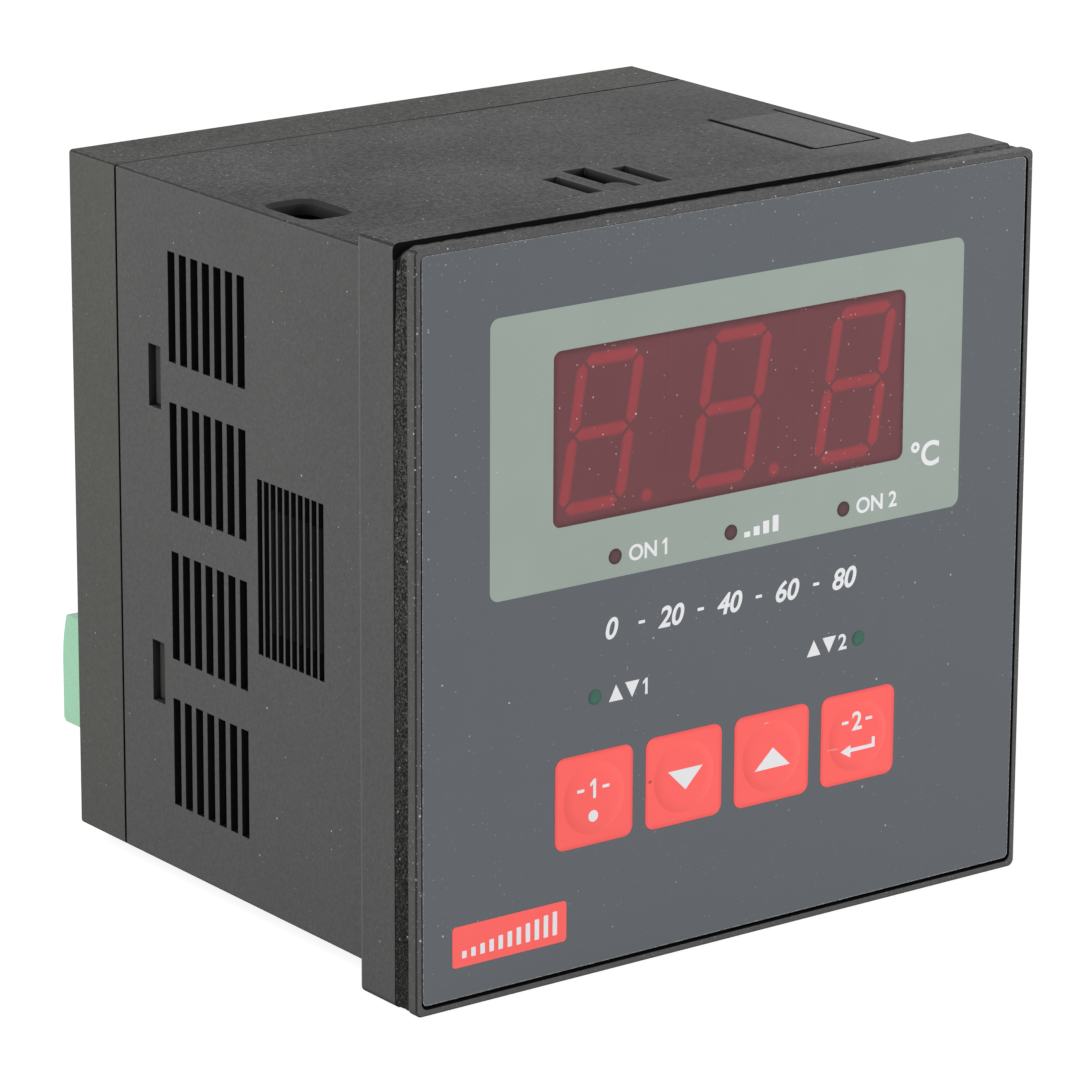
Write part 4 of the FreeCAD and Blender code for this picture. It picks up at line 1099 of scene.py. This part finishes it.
def lettering(
    name,
    text,
    height,
    place,
    material,
    anchor="LEFT",
    slant=0.0,
    weight=MEDIUM,
    layer=1,
    body=HOUSING,
    base=FRONT_Y,
):
    """Printed text of a given height; place is the foot's anchor in X and Z."""
    ink = bpy.context.scene.controller_print.ink
    mesh = text_mesh(name, text, slant, weight)
    xs = [vertex.co.x for vertex in mesh.vertices]
    ys = [vertex.co.y for vertex in mesh.vertices]
    size = height / (max(ys) - min(ys))
    shift = {"LEFT": min(xs), "CENTER": (min(xs) + max(xs)) / 2}[anchor]
    for vertex in mesh.vertices:
        x, y, z = vertex.co
        depth = layer * ink * (z + 0.5)
        vertex.co = (place[0] + (x - shift) * size, base - depth, place[1] + (y - min(ys)) * size)
    builder = bmesh.new()
    builder.from_mesh(mesh)
    bpy.data.meshes.remove(mesh)
    piece = finished_object(name, builder, material)
    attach(piece, body)
    return piece


def right_end(piece):
    """Right edge of a printed piece."""
    return max(vertex.co.x for vertex in piece.data.vertices)


def dress(names, material):
    """Material on carried-over solids."""
    for name in names:
        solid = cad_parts[name].data
        solid.materials.clear()
        solid.materials.append(material)


# Pieces


class CONTROLLER_OT_prepare_finishes(bpy.types.Operator):
    """Build the node groups that the finishes share"""

    bl_idname = "controller.prepare_finishes"
    bl_label = "Shared effects"

    def execute(self, context):
        make_grain_group()
        make_dust_group()
        make_edge_group()
        make_crevice_group()
        return {"FINISHED"}


class CONTROLLER_OT_mould_case(bpy.types.Operator):
    """Finish the case, the rear cover and the front frame"""

    bl_idname = "controller.mould_case"
    bl_label = "Case and frame"

    def execute(self, context):
        colours = context.scene.controller_colours
        dress(("case",), make_case_finish("case_plastic", colours.case, case_recesses))
        dusty = {"grain_sides": 0.80, "fine_sides": 0.90}
        dress(("front_frame",), make_case_finish("frame_plastic", colours.case, frame_recesses, **dusty))
        dress(("rear_cover",), make_case_finish("cover_plastic", colours.cover, cover_recesses))
        return {"FINISHED"}


def foam_stance(settings, x, z, low, high):
    """How the foam stands at one place of its outline: its lift, its gap to the flange and its lean."""
    top_share, side_share = 0.85, 0.6
    at_top = z > high.z - 1.0 * MM
    raised = clamped(x, settings.raised_start, settings.raised_end) if at_top else 0.0
    standing = max(raised, top_share * clamped(x, low.x, low.x + 2.0 * MM)) if at_top else 0.0
    wavy = 1.0 + 0.1 * noise.noise(Vector((x, z, 7.0)) * 650.0)
    lift = settings.lift * standing * wavy
    parted = side_share * clamped(z, settings.parted_start, settings.parted_end) if x < 0 else 0.0
    if z > high.z - 0.4 * MM:
        parted = 1.0
    ragged = 1.0 + 0.4 * noise.noise(Vector((x, 0.0, z)) * 110.0)
    gap = settings.crevice * parted * (1.0 - raised) * ragged
    lean = settings.lean * clamped(z, low.z + 1.0 * MM, low.z + 6.0 * MM) * (1.0 - raised)
    if x > 0:
        lean *= 1.0 - clamped(z, high.z - 8.0 * MM, high.z - 2.0 * MM)
    return lift, gap, lean


def foam_loops(settings):
    """Loops of the foam seal from the inner front edge, over the outer face, to the inner rear edge."""
    low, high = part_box("front_gasket")
    margin, inner_radius, outer_radius = 1.1 * MM, 0.05 * MM, 0.9 * MM
    root_depth, root_share = 0.1 * MM, 2.4
    fine, coarse = 1500.0, 520.0
    steps = 6
    spacing = {"straight": 150, "turn": 6}
    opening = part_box("display_board")[1].x + margin
    inner = rounded_outline((-opening, -opening), (opening, opening), inner_radius, **spacing)
    outer = rounded_outline((low.x, low.z), (high.x, high.z), outer_radius, **spacing)
    rows = [[] for _ in range(steps + 1)]
    root = []
    for (ox, oz), (ix, iz) in zip(outer, inner):
        inward = Vector((ix - ox, 0.0, iz - oz)).normalized()
        lift, gap, lean = foam_stance(settings, ox, oz, low, high)
        for step, row in enumerate(rows):
            share = step / steps
            y = low.y + (high.y - low.y - gap) * share
            rough = noise.noise(Vector((ox, y * 1.5, oz)) * fine) + noise.noise(Vector((oz, y, ox)) * coarse)
            depth = settings.roughness * (0.5 + 0.5 * rough) + lean * (1.0 - share) ** 1.5
            place = Vector((ox, y, oz)) + inward * max(depth, 0.0)
            row.append((place.x, place.y, place.z + lift))
        root.append(tuple(Vector((ox, high.y, oz)) + inward * (root_depth + root_share * gap)))
    front = [(x, low.y, z) for x, z in inner]
    rear = [(x, high.y, z) for x, z in inner]
    return [front] + rows + [root, rear]


class CONTROLLER_OT_cut_foam(bpy.types.Operator):
    """Cut the uneven foam seal between the front frame and the flange"""

    bl_idname = "controller.cut_foam"
    bl_label = "Foam seal"

    def execute(self, context):
        loops = foam_loops(context.scene.controller_foam)
        builder = bmesh.new()
        bridge_ring(builder, [[builder.verts.new(point) for point in loop] for loop in loops])
        finish = make_foam_finish(context.scene.controller_colours)
        piece = finished_object("foam_seal", builder, finish)
        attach(piece, HOUSING)
        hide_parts("front_gasket")
        return {"FINISHED"}


class CONTROLLER_OT_print_sheet(bpy.types.Operator):
    """Finish the slate sheet and print its pale field, scale and red tag"""

    bl_idname = "controller.print_sheet"
    bl_label = "Printed sheet"

    def execute(self, context):
        sizes = context.scene.controller_print
        colours = context.scene.controller_colours
        dress(("front_overlay",), make_overlay_finish(colours))
        field = make_ink_finish("field_print", colours.field)
        white = make_ink_finish("white_print", colours.ink, specks=0.0)
        red = make_ink_finish("red_print", colours.key_red, roughness=0.42, specks=0.01)
        self.print_field(sizes, field)
        self.print_scale(sizes, white)
        self.print_tag(sizes, red, white)
        return {"FINISHED"}

    def print_field(self, sizes, material):
        """Pale field with the window's opening left free."""
        low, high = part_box("display_window")
        half = sizes.field_half_width
        edge = ((-half, sizes.field_bottom), (half, sizes.field_top))
        outer = rounded_outline(*edge, sizes.field_radius, straight=4)
        inner = rounded_outline((low.x, low.z), (high.x, high.z), sizes.window_radius, straight=4)
        printed_y = FRONT_Y - sizes.ink
        places = ((outer, FRONT_Y), (outer, printed_y), (inner, printed_y), (inner, FRONT_Y))
        builder = bmesh.new()
        bridge_ring(builder, [loop_at(builder, outline, y) for outline, y in places])
        piece = finished_object("pale_field", builder, material)
        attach(piece, HOUSING)

    def print_scale(self, sizes, material):
        """Plain numbered scale below the field, and the degree mark beside the window."""
        numbers = range(0, 81, 20)
        pitch = 2 * sizes.scale_half_width / (len(numbers) - 1)
        for index, number in enumerate(numbers):
            lettering(
                f"scale_number_{number}",
                str(number),
                sizes.scale_height,
                (-sizes.scale_half_width + index * pitch, sizes.scale_base),
                material,
                anchor="CENTER",
                slant=SCALE_LEAN,
                weight=BOLD,
            )
        half_length, half_height, radius = 0.5 * MM, 0.2 * MM, 0.1 * MM
        z = sizes.scale_base + sizes.scale_height / 2
        ticks = []
        for index in range(len(numbers) - 1):
            x = -sizes.scale_half_width + (index + 0.5) * pitch
            low, high = (x - half_length, z - half_height), (x + half_length, z + half_height)
            ticks.append(rounded_outline(low, high, radius))
        printed("scale_ticks", ticks, material)
        place = (sizes.unit_left, sizes.unit_base)
        text = "\N{DEGREE SIGN}C"
        lettering("degree_mark", text, sizes.unit_height, place, material, weight=BOLD, layer=2)

    def print_tag(self, sizes, red, white):
        """Plain red tag with a row of rising white bars."""
        low, high = (sizes.tag_left, sizes.tag_bottom), (sizes.tag_right, sizes.tag_top)
        printed("red_tag", [rounded_outline(low, high, sizes.tag_radius)], red)
        margin, shortest = 1.1 * MM, 0.3
        pitch = (high[0] - low[0] - 2 * margin) / sizes.tag_bars
        room = high[1] - low[1] - 2 * margin
        foot = low[1] + margin
        bars = []
        for index in range(sizes.tag_bars):
            left = low[0] + margin + (index + 0.25) * pitch
            height = room * (shortest + (1.0 - shortest) * index / (sizes.tag_bars - 1))
            bars.append(small_bar((left, foot), (left + pitch / 2, foot + height)))
        printed("tag_bars", bars, white, layer=2)


class CONTROLLER_OT_fit_display(bpy.types.Operator):
    """Finish the window, the digits behind it and their segments"""

    bl_idname = "controller.fit_display"
    bl_label = "Display"

    def execute(self, context):
        colours = context.scene.controller_colours
        dress(("display_window",), make_window_finish(colours))
        housing = moulded("digit_housing", colours.digit, roughness=0.5, depth=0.0003 * MM, specular=0.05)
        dress(DIGITS, housing)
        segments = [name + "_segments" for name in DIGITS]
        dress(segments, make_lens_finish(context.scene.controller_display, colours.segment))
        return {"FINISHED"}


class CONTROLLER_OT_fit_lamps(bpy.types.Operator):
    """Set a lens in the sheet over each lamp, with its marks beside it"""

    bl_idname = "controller.fit_lamps"
    bl_label = "Lamps"

    def execute(self, context):
        scene = context.scene
        colours = scene.controller_colours
        kinds = (
            ("lamp_red", RED_LAMPS, colours.lamp_red, 0.25),
            ("lamp_green", GREEN_LAMPS, colours.lamp_green, 0.75),
        )
        for slot, names, colour, rim_shade in kinds:
            finish = make_lamp_finish(slot, scene.controller_lamps, colour, rim_shade)
            dress(names, finish)
            for name in names:
                self.set_lens(scene, name, finish, slot)
        white = bpy.data.materials["white_print"]
        self.mark_outputs(scene.controller_print, white)
        self.mark_program(scene.controller_print, white)
        self.mark_setpoints(scene.controller_print, white)
        return {"FINISHED"}

    def set_lens(self, scene, name, material, slot):
        """Shallow round lens over one lamp."""
        ink = scene.controller_print.ink
        radius = scene.controller_lamps.radius
        centre = centre_of(name)
        profile = ((0.0, radius), (2 * ink, radius), (2.6 * ink, 0.9 * radius), (3 * ink, 0.55 * radius))
        builder = bmesh.new()
        loops = [loop_at(builder, round_outline(0.0, 0.0, reach), -rise) for rise, reach in profile]
        for first, second in zip(loops, loops[1:]):
            bridge(builder, first, second)
        builder.faces.new(loops[0])
        builder.faces.new(loops[-1])
        lens = finished_object(name + "_lens", builder, material)
        lens.location = (centre.x, FRONT_Y, centre.z)
        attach(lens, HOUSING)

    def mark_outputs(self, sizes, white):
        """ON and a number beside each output lamp."""
        space = 0.8 * MM
        height = sizes.label_height
        for text, name in (("ON", "output_lamp_1"), ("ON 2", "output_lamp_2")):
            centre = centre_of(name)
            foot = centre.z - height / 2
            place = (centre.x + sizes.label_gap, foot)
            word = lettering(name + "_mark", text, height, place, white, layer=2)
            if text == "ON":
                one = numeral_one(right_end(word) + space, foot, height)
                printed(name + "_number", [one], white, layer=2)

    def mark_program(self, sizes, white):
        """Rising bars beside the program lamp."""
        count, pitch, width = 4, 1.5 * MM, 0.95 * MM
        centre = centre_of("program_lamp")
        foot = centre.z - sizes.label_height / 2
        bars = []
        for index in range(count):
            left = centre.x + sizes.label_gap + index * pitch
            top = foot + sizes.label_height * (index + 1.5) / (count + 0.5)
            bars.append(small_bar((left, foot), (left + width, top)))
        printed("program_lamp_mark", bars, white, layer=2)

    def mark_setpoints(self, sizes, white):
        """Two triangles and a number, right of the first setpoint lamp and left of the second."""
        width, triangle, second = 6.3 * MM, 2.2 * MM, 2.5 * MM
        one_left, two_left = 5.2 * MM, 5.1 * MM
        height = sizes.label_height
        for number, name in enumerate(GREEN_LAMPS, start=1):
            centre = centre_of(name)
            low, high = centre.z - height / 2, centre.z + height / 2
            left = centre.x + sizes.label_gap if number == 1 else centre.x - sizes.label_gap - width
            start = left + second
            rising = [(left, low), (left + triangle, low), (left + triangle / 2, high)]
            falling = [(start, high), (start + triangle / 2, low), (start + triangle, high)]
            patches = [rising, falling]
            if number == 1:
                patches.append(numeral_one(left + one_left, low, height))
            else:
                lettering(name + "_number", "2", height, (left + two_left, low), white)
            printed(name + "_mark", patches, white)


class CONTROLLER_OT_emboss_keys(bpy.types.Operator):
    """Lay the coloured film over the keys, raised in the middle, and print the signs on it"""

    bl_idname = "controller.emboss_keys"
    bl_label = "Soft keys"

    def execute(self, context):
        sizes = context.scene.controller_keys
        red = make_key_finish(sizes, context.scene.controller_colours)
        for name in KEYS:
            self.lay_film(sizes, name, red)
        self.print_signs(sizes, bpy.data.materials["white_print"])
        return {"FINISHED"}

    def crown_of(self, name):
        """Depth of the film's raised middle, so that the signs on it end at the key's own front."""
        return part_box(name)[0].y + bpy.context.scene.controller_print.ink

    def film_rims(self, sizes, key_radius):
        """Radius and share of the rise of each ring of a film, from its flat part to its middle."""
        slope = 12
        rims = [(key_radius + flat * MM, 0.0) for flat in (0.25, 0.05)]
        for step in range(slope + 1):
            share = step / slope
            rims.append((key_radius - sizes.shoulder * share, 1.0 - (1.0 - share) ** 2))
        return rims + [((key_radius - sizes.shoulder) * share, 1.0) for share in (0.7, 0.35)]

    def lay_film(self, sizes, name, material):
        """Film of one key: a flat square that rises over the key."""
        low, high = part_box(name)
        centre = (low + high) / 2
        half = sizes.square / 2
        flat = FRONT_Y - sizes.film
        crown = self.crown_of(name)
        square = rounded_outline((-half, -half), (half, half), sizes.square_radius, straight=14)
        rims = self.film_rims(sizes, (high.x - low.x) / 2 + 0.1 * MM)
        builder = bmesh.new()
        front = self.film_side(builder, centre, square, rims, flat, flat - crown)
        back = self.film_side(builder, centre, square, rims, FRONT_Y, flat - crown)
        bridge(builder, front, back)
        film = finished_object(name + "_film", builder, material, smooth=True)
        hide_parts(name)
        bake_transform(film)

    def film_side(self, builder, centre, square, rims, y, height):
        """One side of a film, from its square edge to its middle; gives back the edge."""
        edge = [builder.verts.new((centre.x + x, y, centre.z + z)) for x, z in square]
        angles = [math.atan2(z, x) for x, z in square]
        previous = edge
        for radius, rise in rims:
            ring = []
            for turn in angles:
                x, z = centre.x + radius * math.cos(turn), centre.z + radius * math.sin(turn)
                ring.append(builder.verts.new((x, y - height * rise, z)))
            bridge(builder, previous, ring)
            previous = ring
        builder.faces.new(previous)
        return edge

    def number_dashes(self, x, z):
        """Outlines of the dashes on both sides of a number."""
        reach, half_length, half_height = 1.95 * MM, 0.55 * MM, 0.2 * MM
        dashes = []
        for middle in (x - reach, x + reach):
            low = (middle - half_length, z - half_height)
            dashes.append(small_bar(low, (middle + half_length, z + half_height)))
        return dashes

    def print_signs(self, sizes, white):
        """White signs on the raised middles: numbers, triangles, a dot and an enter arrow."""
        dot = round_outline(0.0, -2.2, 0.75, steps=32)
        signs = {"key_program": dot, "key_down": DOWN_SIGN, "key_up": UP_SIGN, "key_enter": ENTER_SIGN}
        feet = {"key_program": 0.1 * MM, "key_enter": 0.9 * MM}
        height = sizes.numeral_height
        for name, sign in signs.items():
            base = self.crown_of(name)
            middle = centre_of(name)
            x0, z0 = middle.x - sizes.sign_shift, middle.z
            outlines = [[(x0 + x * MM, z0 + z * MM) for x, z in sign]]
            if name in feet:
                foot = z0 + feet[name]
                outlines += self.number_dashes(x0, foot + height / 2)
            if name == "key_program":
                outlines.append(numeral_one(x0 - 0.22 * height, foot, height))
            if name == "key_enter":
                lettering(
                    name + "_number", "2", height, (x0, foot), white, anchor="CENTER", body=name, base=base
                )
            printed(name + "_sign", outlines, white, body=name, base=base)


class CONTROLLER_OT_finish_terminals(bpy.types.Operator):
    """Finish the terminal plugs, their headers, clamps and screws"""

    bl_idname = "controller.finish_terminals"
    bl_label = "Terminals"

    def execute(self, context):
        scene = context.scene
        green = moulded("terminal_green", scene.controller_colours.terminal, roughness=0.5, spread=0.05)
        tinned = make_tinned_finish(scene.controller_inner_colours.tinned)
        for plug in PLUGS:
            dress((plug + "_plug", plug + "_header"), green)
            dress((plug + "_header_pins", plug + "_plug_clamps", plug + "_plug_screws"), tinned)
        return {"FINISHED"}


class CONTROLLER_OT_finish_boards(bpy.types.Operator):
    """Finish the boards and the parts on them, which show through the louvres"""

    bl_idname = "controller.finish_boards"
    bl_label = "Boards"

    def execute(self, context):
        colours = context.scene.controller_inner_colours
        black = moulded("switch_plastic", colours.switch, roughness=0.5)
        dress(("link_header",), black)
        for name in KEYS:
            dress((name + "_switch", name + "_plunger"), black)
        chip = moulded("chip_plastic", colours.chip, roughness=0.45)
        dress(("microcontroller", "rectifier", "regulator", "mains_fuse"), chip)
        dress(("display_board", "main_board"), make_board_finish(colours))
        dress(("display_board_screws", "link_pins"), bpy.data.materials["tinned_metal"])
        sheets = {"roughness": 0.5, "metallic": 0.8, "pitch": 0.5 * MM, "axis": "Y"}
        dress(("transformer_core",), make_banded_finish("core_steel", colours.core, **sheets))
        wire = {"roughness": 0.4, "metallic": 0.6, "pitch": 0.4 * MM, "axis": "Z"}
        dress(("transformer_winding",), make_banded_finish("winding_copper", colours.winding, **wire))
        dress(("transformer_bobbin",), moulded("bobbin_plastic", colours.bobbin, roughness=0.5))
        dress(("relay_1", "relay_2"), moulded("relay_plastic", colours.relay, roughness=0.35))
        dress(("smoothing_capacitor",), moulded("can_sleeve", colours.sleeve, roughness=0.3))
        dress(("surge_varistor",), moulded("varistor_epoxy", colours.varistor, roughness=0.4))
        return {"FINISHED"}


class CONTROLLER_OT_set_stage(bpy.types.Operator):
    """Set up the floor, the light and the camera"""

    bl_idname = "controller.set_stage"
    bl_label = "Stage"

    def execute(self, context):
        stage = context.scene.controller_stage
        self.lay_floor()
        self.light_sky(context.scene, stage)
        self.hang_lamp("key_light", stage.key_place, stage.key_size, stage.key_power)
        self.hang_lamp("fill_light", stage.fill_place, stage.fill_size, stage.fill_power)
        self.stand_camera(context.scene, stage)
        context.scene.view_settings.view_transform = "Standard"
        return {"FINISHED"}

    def seen_directly(self, tree):
        """One for rays that show the backdrop: straight, in a mirror or through glass."""
        path = tree.nodes.new("ShaderNodeLightPath")
        seen = maths(tree, "MAXIMUM", path.outputs["Is Camera Ray"], path.outputs["Is Glossy Ray"])
        return maths(tree, "MAXIMUM", seen, path.outputs["Is Transmission Ray"])

    def lay_floor(self):
        """White floor that keeps a soft shadow."""
        builder = bmesh.new()
        bmesh.ops.create_circle(builder, cap_ends=True, segments=96, radius=6.0)
        material = bpy.data.materials.new("floor_white")
        material.use_nodes = True
        tree = material.node_tree
        tree.nodes.clear()
        lit = node(tree, "ShaderNodeBsdfDiffuse", {"Color": (0.40, 0.40, 0.40, 1.0)})
        pale = node(tree, "ShaderNodeBsdfDiffuse", {"Color": (0.30, 0.30, 0.30, 1.0)})
        glow = node(tree, "ShaderNodeEmission", {"Color": (1.0, 1.0, 1.0, 1.0), "Strength": 0.86})
        shown = node(tree, "ShaderNodeAddShader", {0: pale.outputs[0], 1: glow.outputs[0]})
        inputs = {0: self.seen_directly(tree), 1: lit.outputs[0], 2: shown.outputs[0]}
        choice = node(tree, "ShaderNodeMixShader", inputs)
        output = tree.nodes.new("ShaderNodeOutputMaterial")
        tree.links.new(choice.outputs[0], output.inputs["Surface"])
        floor = finished_object("floor", builder, material)
        floor.location.z = solid_box[0].z - 0.02 * MM

    def light_sky(self, scene, stage):
        """Even light, weaker from above, seen as white."""
        world = bpy.data.worlds.new("studio")
        world.use_nodes = True
        tree = world.node_tree
        tree.nodes.clear()
        height = split(tree, tree.nodes.new("ShaderNodeTexCoord").outputs["Generated"])["Z"]
        lit = ranged(tree, height, 0.0, 1.0, stage.horizon, stage.zenith)
        level = maths(tree, "MAXIMUM", lit, self.seen_directly(tree))
        sky = node(tree, "ShaderNodeBackground", {"Color": (1.0, 1.0, 1.0, 1.0), "Strength": level})
        output = tree.nodes.new("ShaderNodeOutputWorld")
        tree.links.new(sky.outputs[0], output.inputs["Surface"])
        scene.world = world

    def hang_lamp(self, name, place, size, power):
        """Soft square lamp aimed at the middle of the controller."""
        light = bpy.data.lights.new(name, "AREA")
        light.size = size
        light.energy = power
        lamp = bpy.data.objects.new(name, light)
        lamp.location = place
        lamp.visible_glossy = False
        middle = (solid_box[0] + solid_box[1]) / 2
        lamp.rotation_euler = (middle - Vector(place)).to_track_quat("-Z", "Y").to_euler()
        bpy.context.scene.collection.objects.link(lamp)

    def stand_camera(self, scene, stage):
        """Camera at the photograph's place."""
        data = bpy.data.cameras.new("camera")
        data.lens = stage.lens
        data.sensor_width = 36.0
        data.clip_start = 0.01
        camera = bpy.data.objects.new("camera", data)
        turn = Matrix.Rotation(stage.azimuth, 4, "Z")
        tilt = Matrix.Rotation(math.pi / 2 - stage.elevation, 4, "X")
        roll = Matrix.Rotation(stage.roll, 4, "Z")
        camera.matrix_world = Matrix.Translation(stage.camera_place) @ turn @ tilt @ roll
        scene.collection.objects.link(camera)
        scene.camera = camera


class CONTROLLER_PT_build(bpy.types.Panel):
    """Lists the steps that dress the controller"""

    bl_idname = "CONTROLLER_PT_build"
    bl_label = "Temperature controller"
    bl_space_type = "VIEW_3D"
    bl_region_type = "UI"
    bl_category = "Controller"

    def draw(self, context):
        for step in STEPS:
            self.layout.operator(step.bl_idname, text=step.bl_label)


STEPS = (
    CONTROLLER_OT_prepare_finishes,
    CONTROLLER_OT_mould_case,
    CONTROLLER_OT_cut_foam,
    CONTROLLER_OT_print_sheet,
    CONTROLLER_OT_fit_display,
    CONTROLLER_OT_fit_lamps,
    CONTROLLER_OT_emboss_keys,
    CONTROLLER_OT_finish_terminals,
    CONTROLLER_OT_finish_boards,
    CONTROLLER_OT_set_stage,
)
SETTINGS = {
    "controller_print": PrintSettings,
    "controller_keys": KeySettings,
    "controller_display": DisplaySettings,
    "controller_lamps": LampSettings,
    "controller_foam": FoamSettings,
    "controller_colours": ColourSettings,
    "controller_inner_colours": InnerColourSettings,
    "controller_stage": StageSettings,
}


def register():
    """Register the settings, the steps and the panel."""
    for name, group in SETTINGS.items():
        bpy.utils.register_class(group)
        setattr(bpy.types.Scene, name, PointerProperty(type=group))
    for step in STEPS:
        bpy.utils.register_class(step)
    bpy.utils.register_class(CONTROLLER_PT_build)


def unregister():
    """Undo what register did."""
    bpy.utils.unregister_class(CONTROLLER_PT_build)
    for step in reversed(STEPS):
        bpy.utils.unregister_class(step)
    for name, group in reversed(SETTINGS.items()):
        delattr(bpy.types.Scene, name)
        bpy.utils.unregister_class(group)


def main():
    """Dress the controller step by step."""
    register()
    for step in STEPS:
        family, action = step.bl_idname.split(".")
        getattr(getattr(bpy.ops, family), action)()


if __name__ == "__main__":
    main()
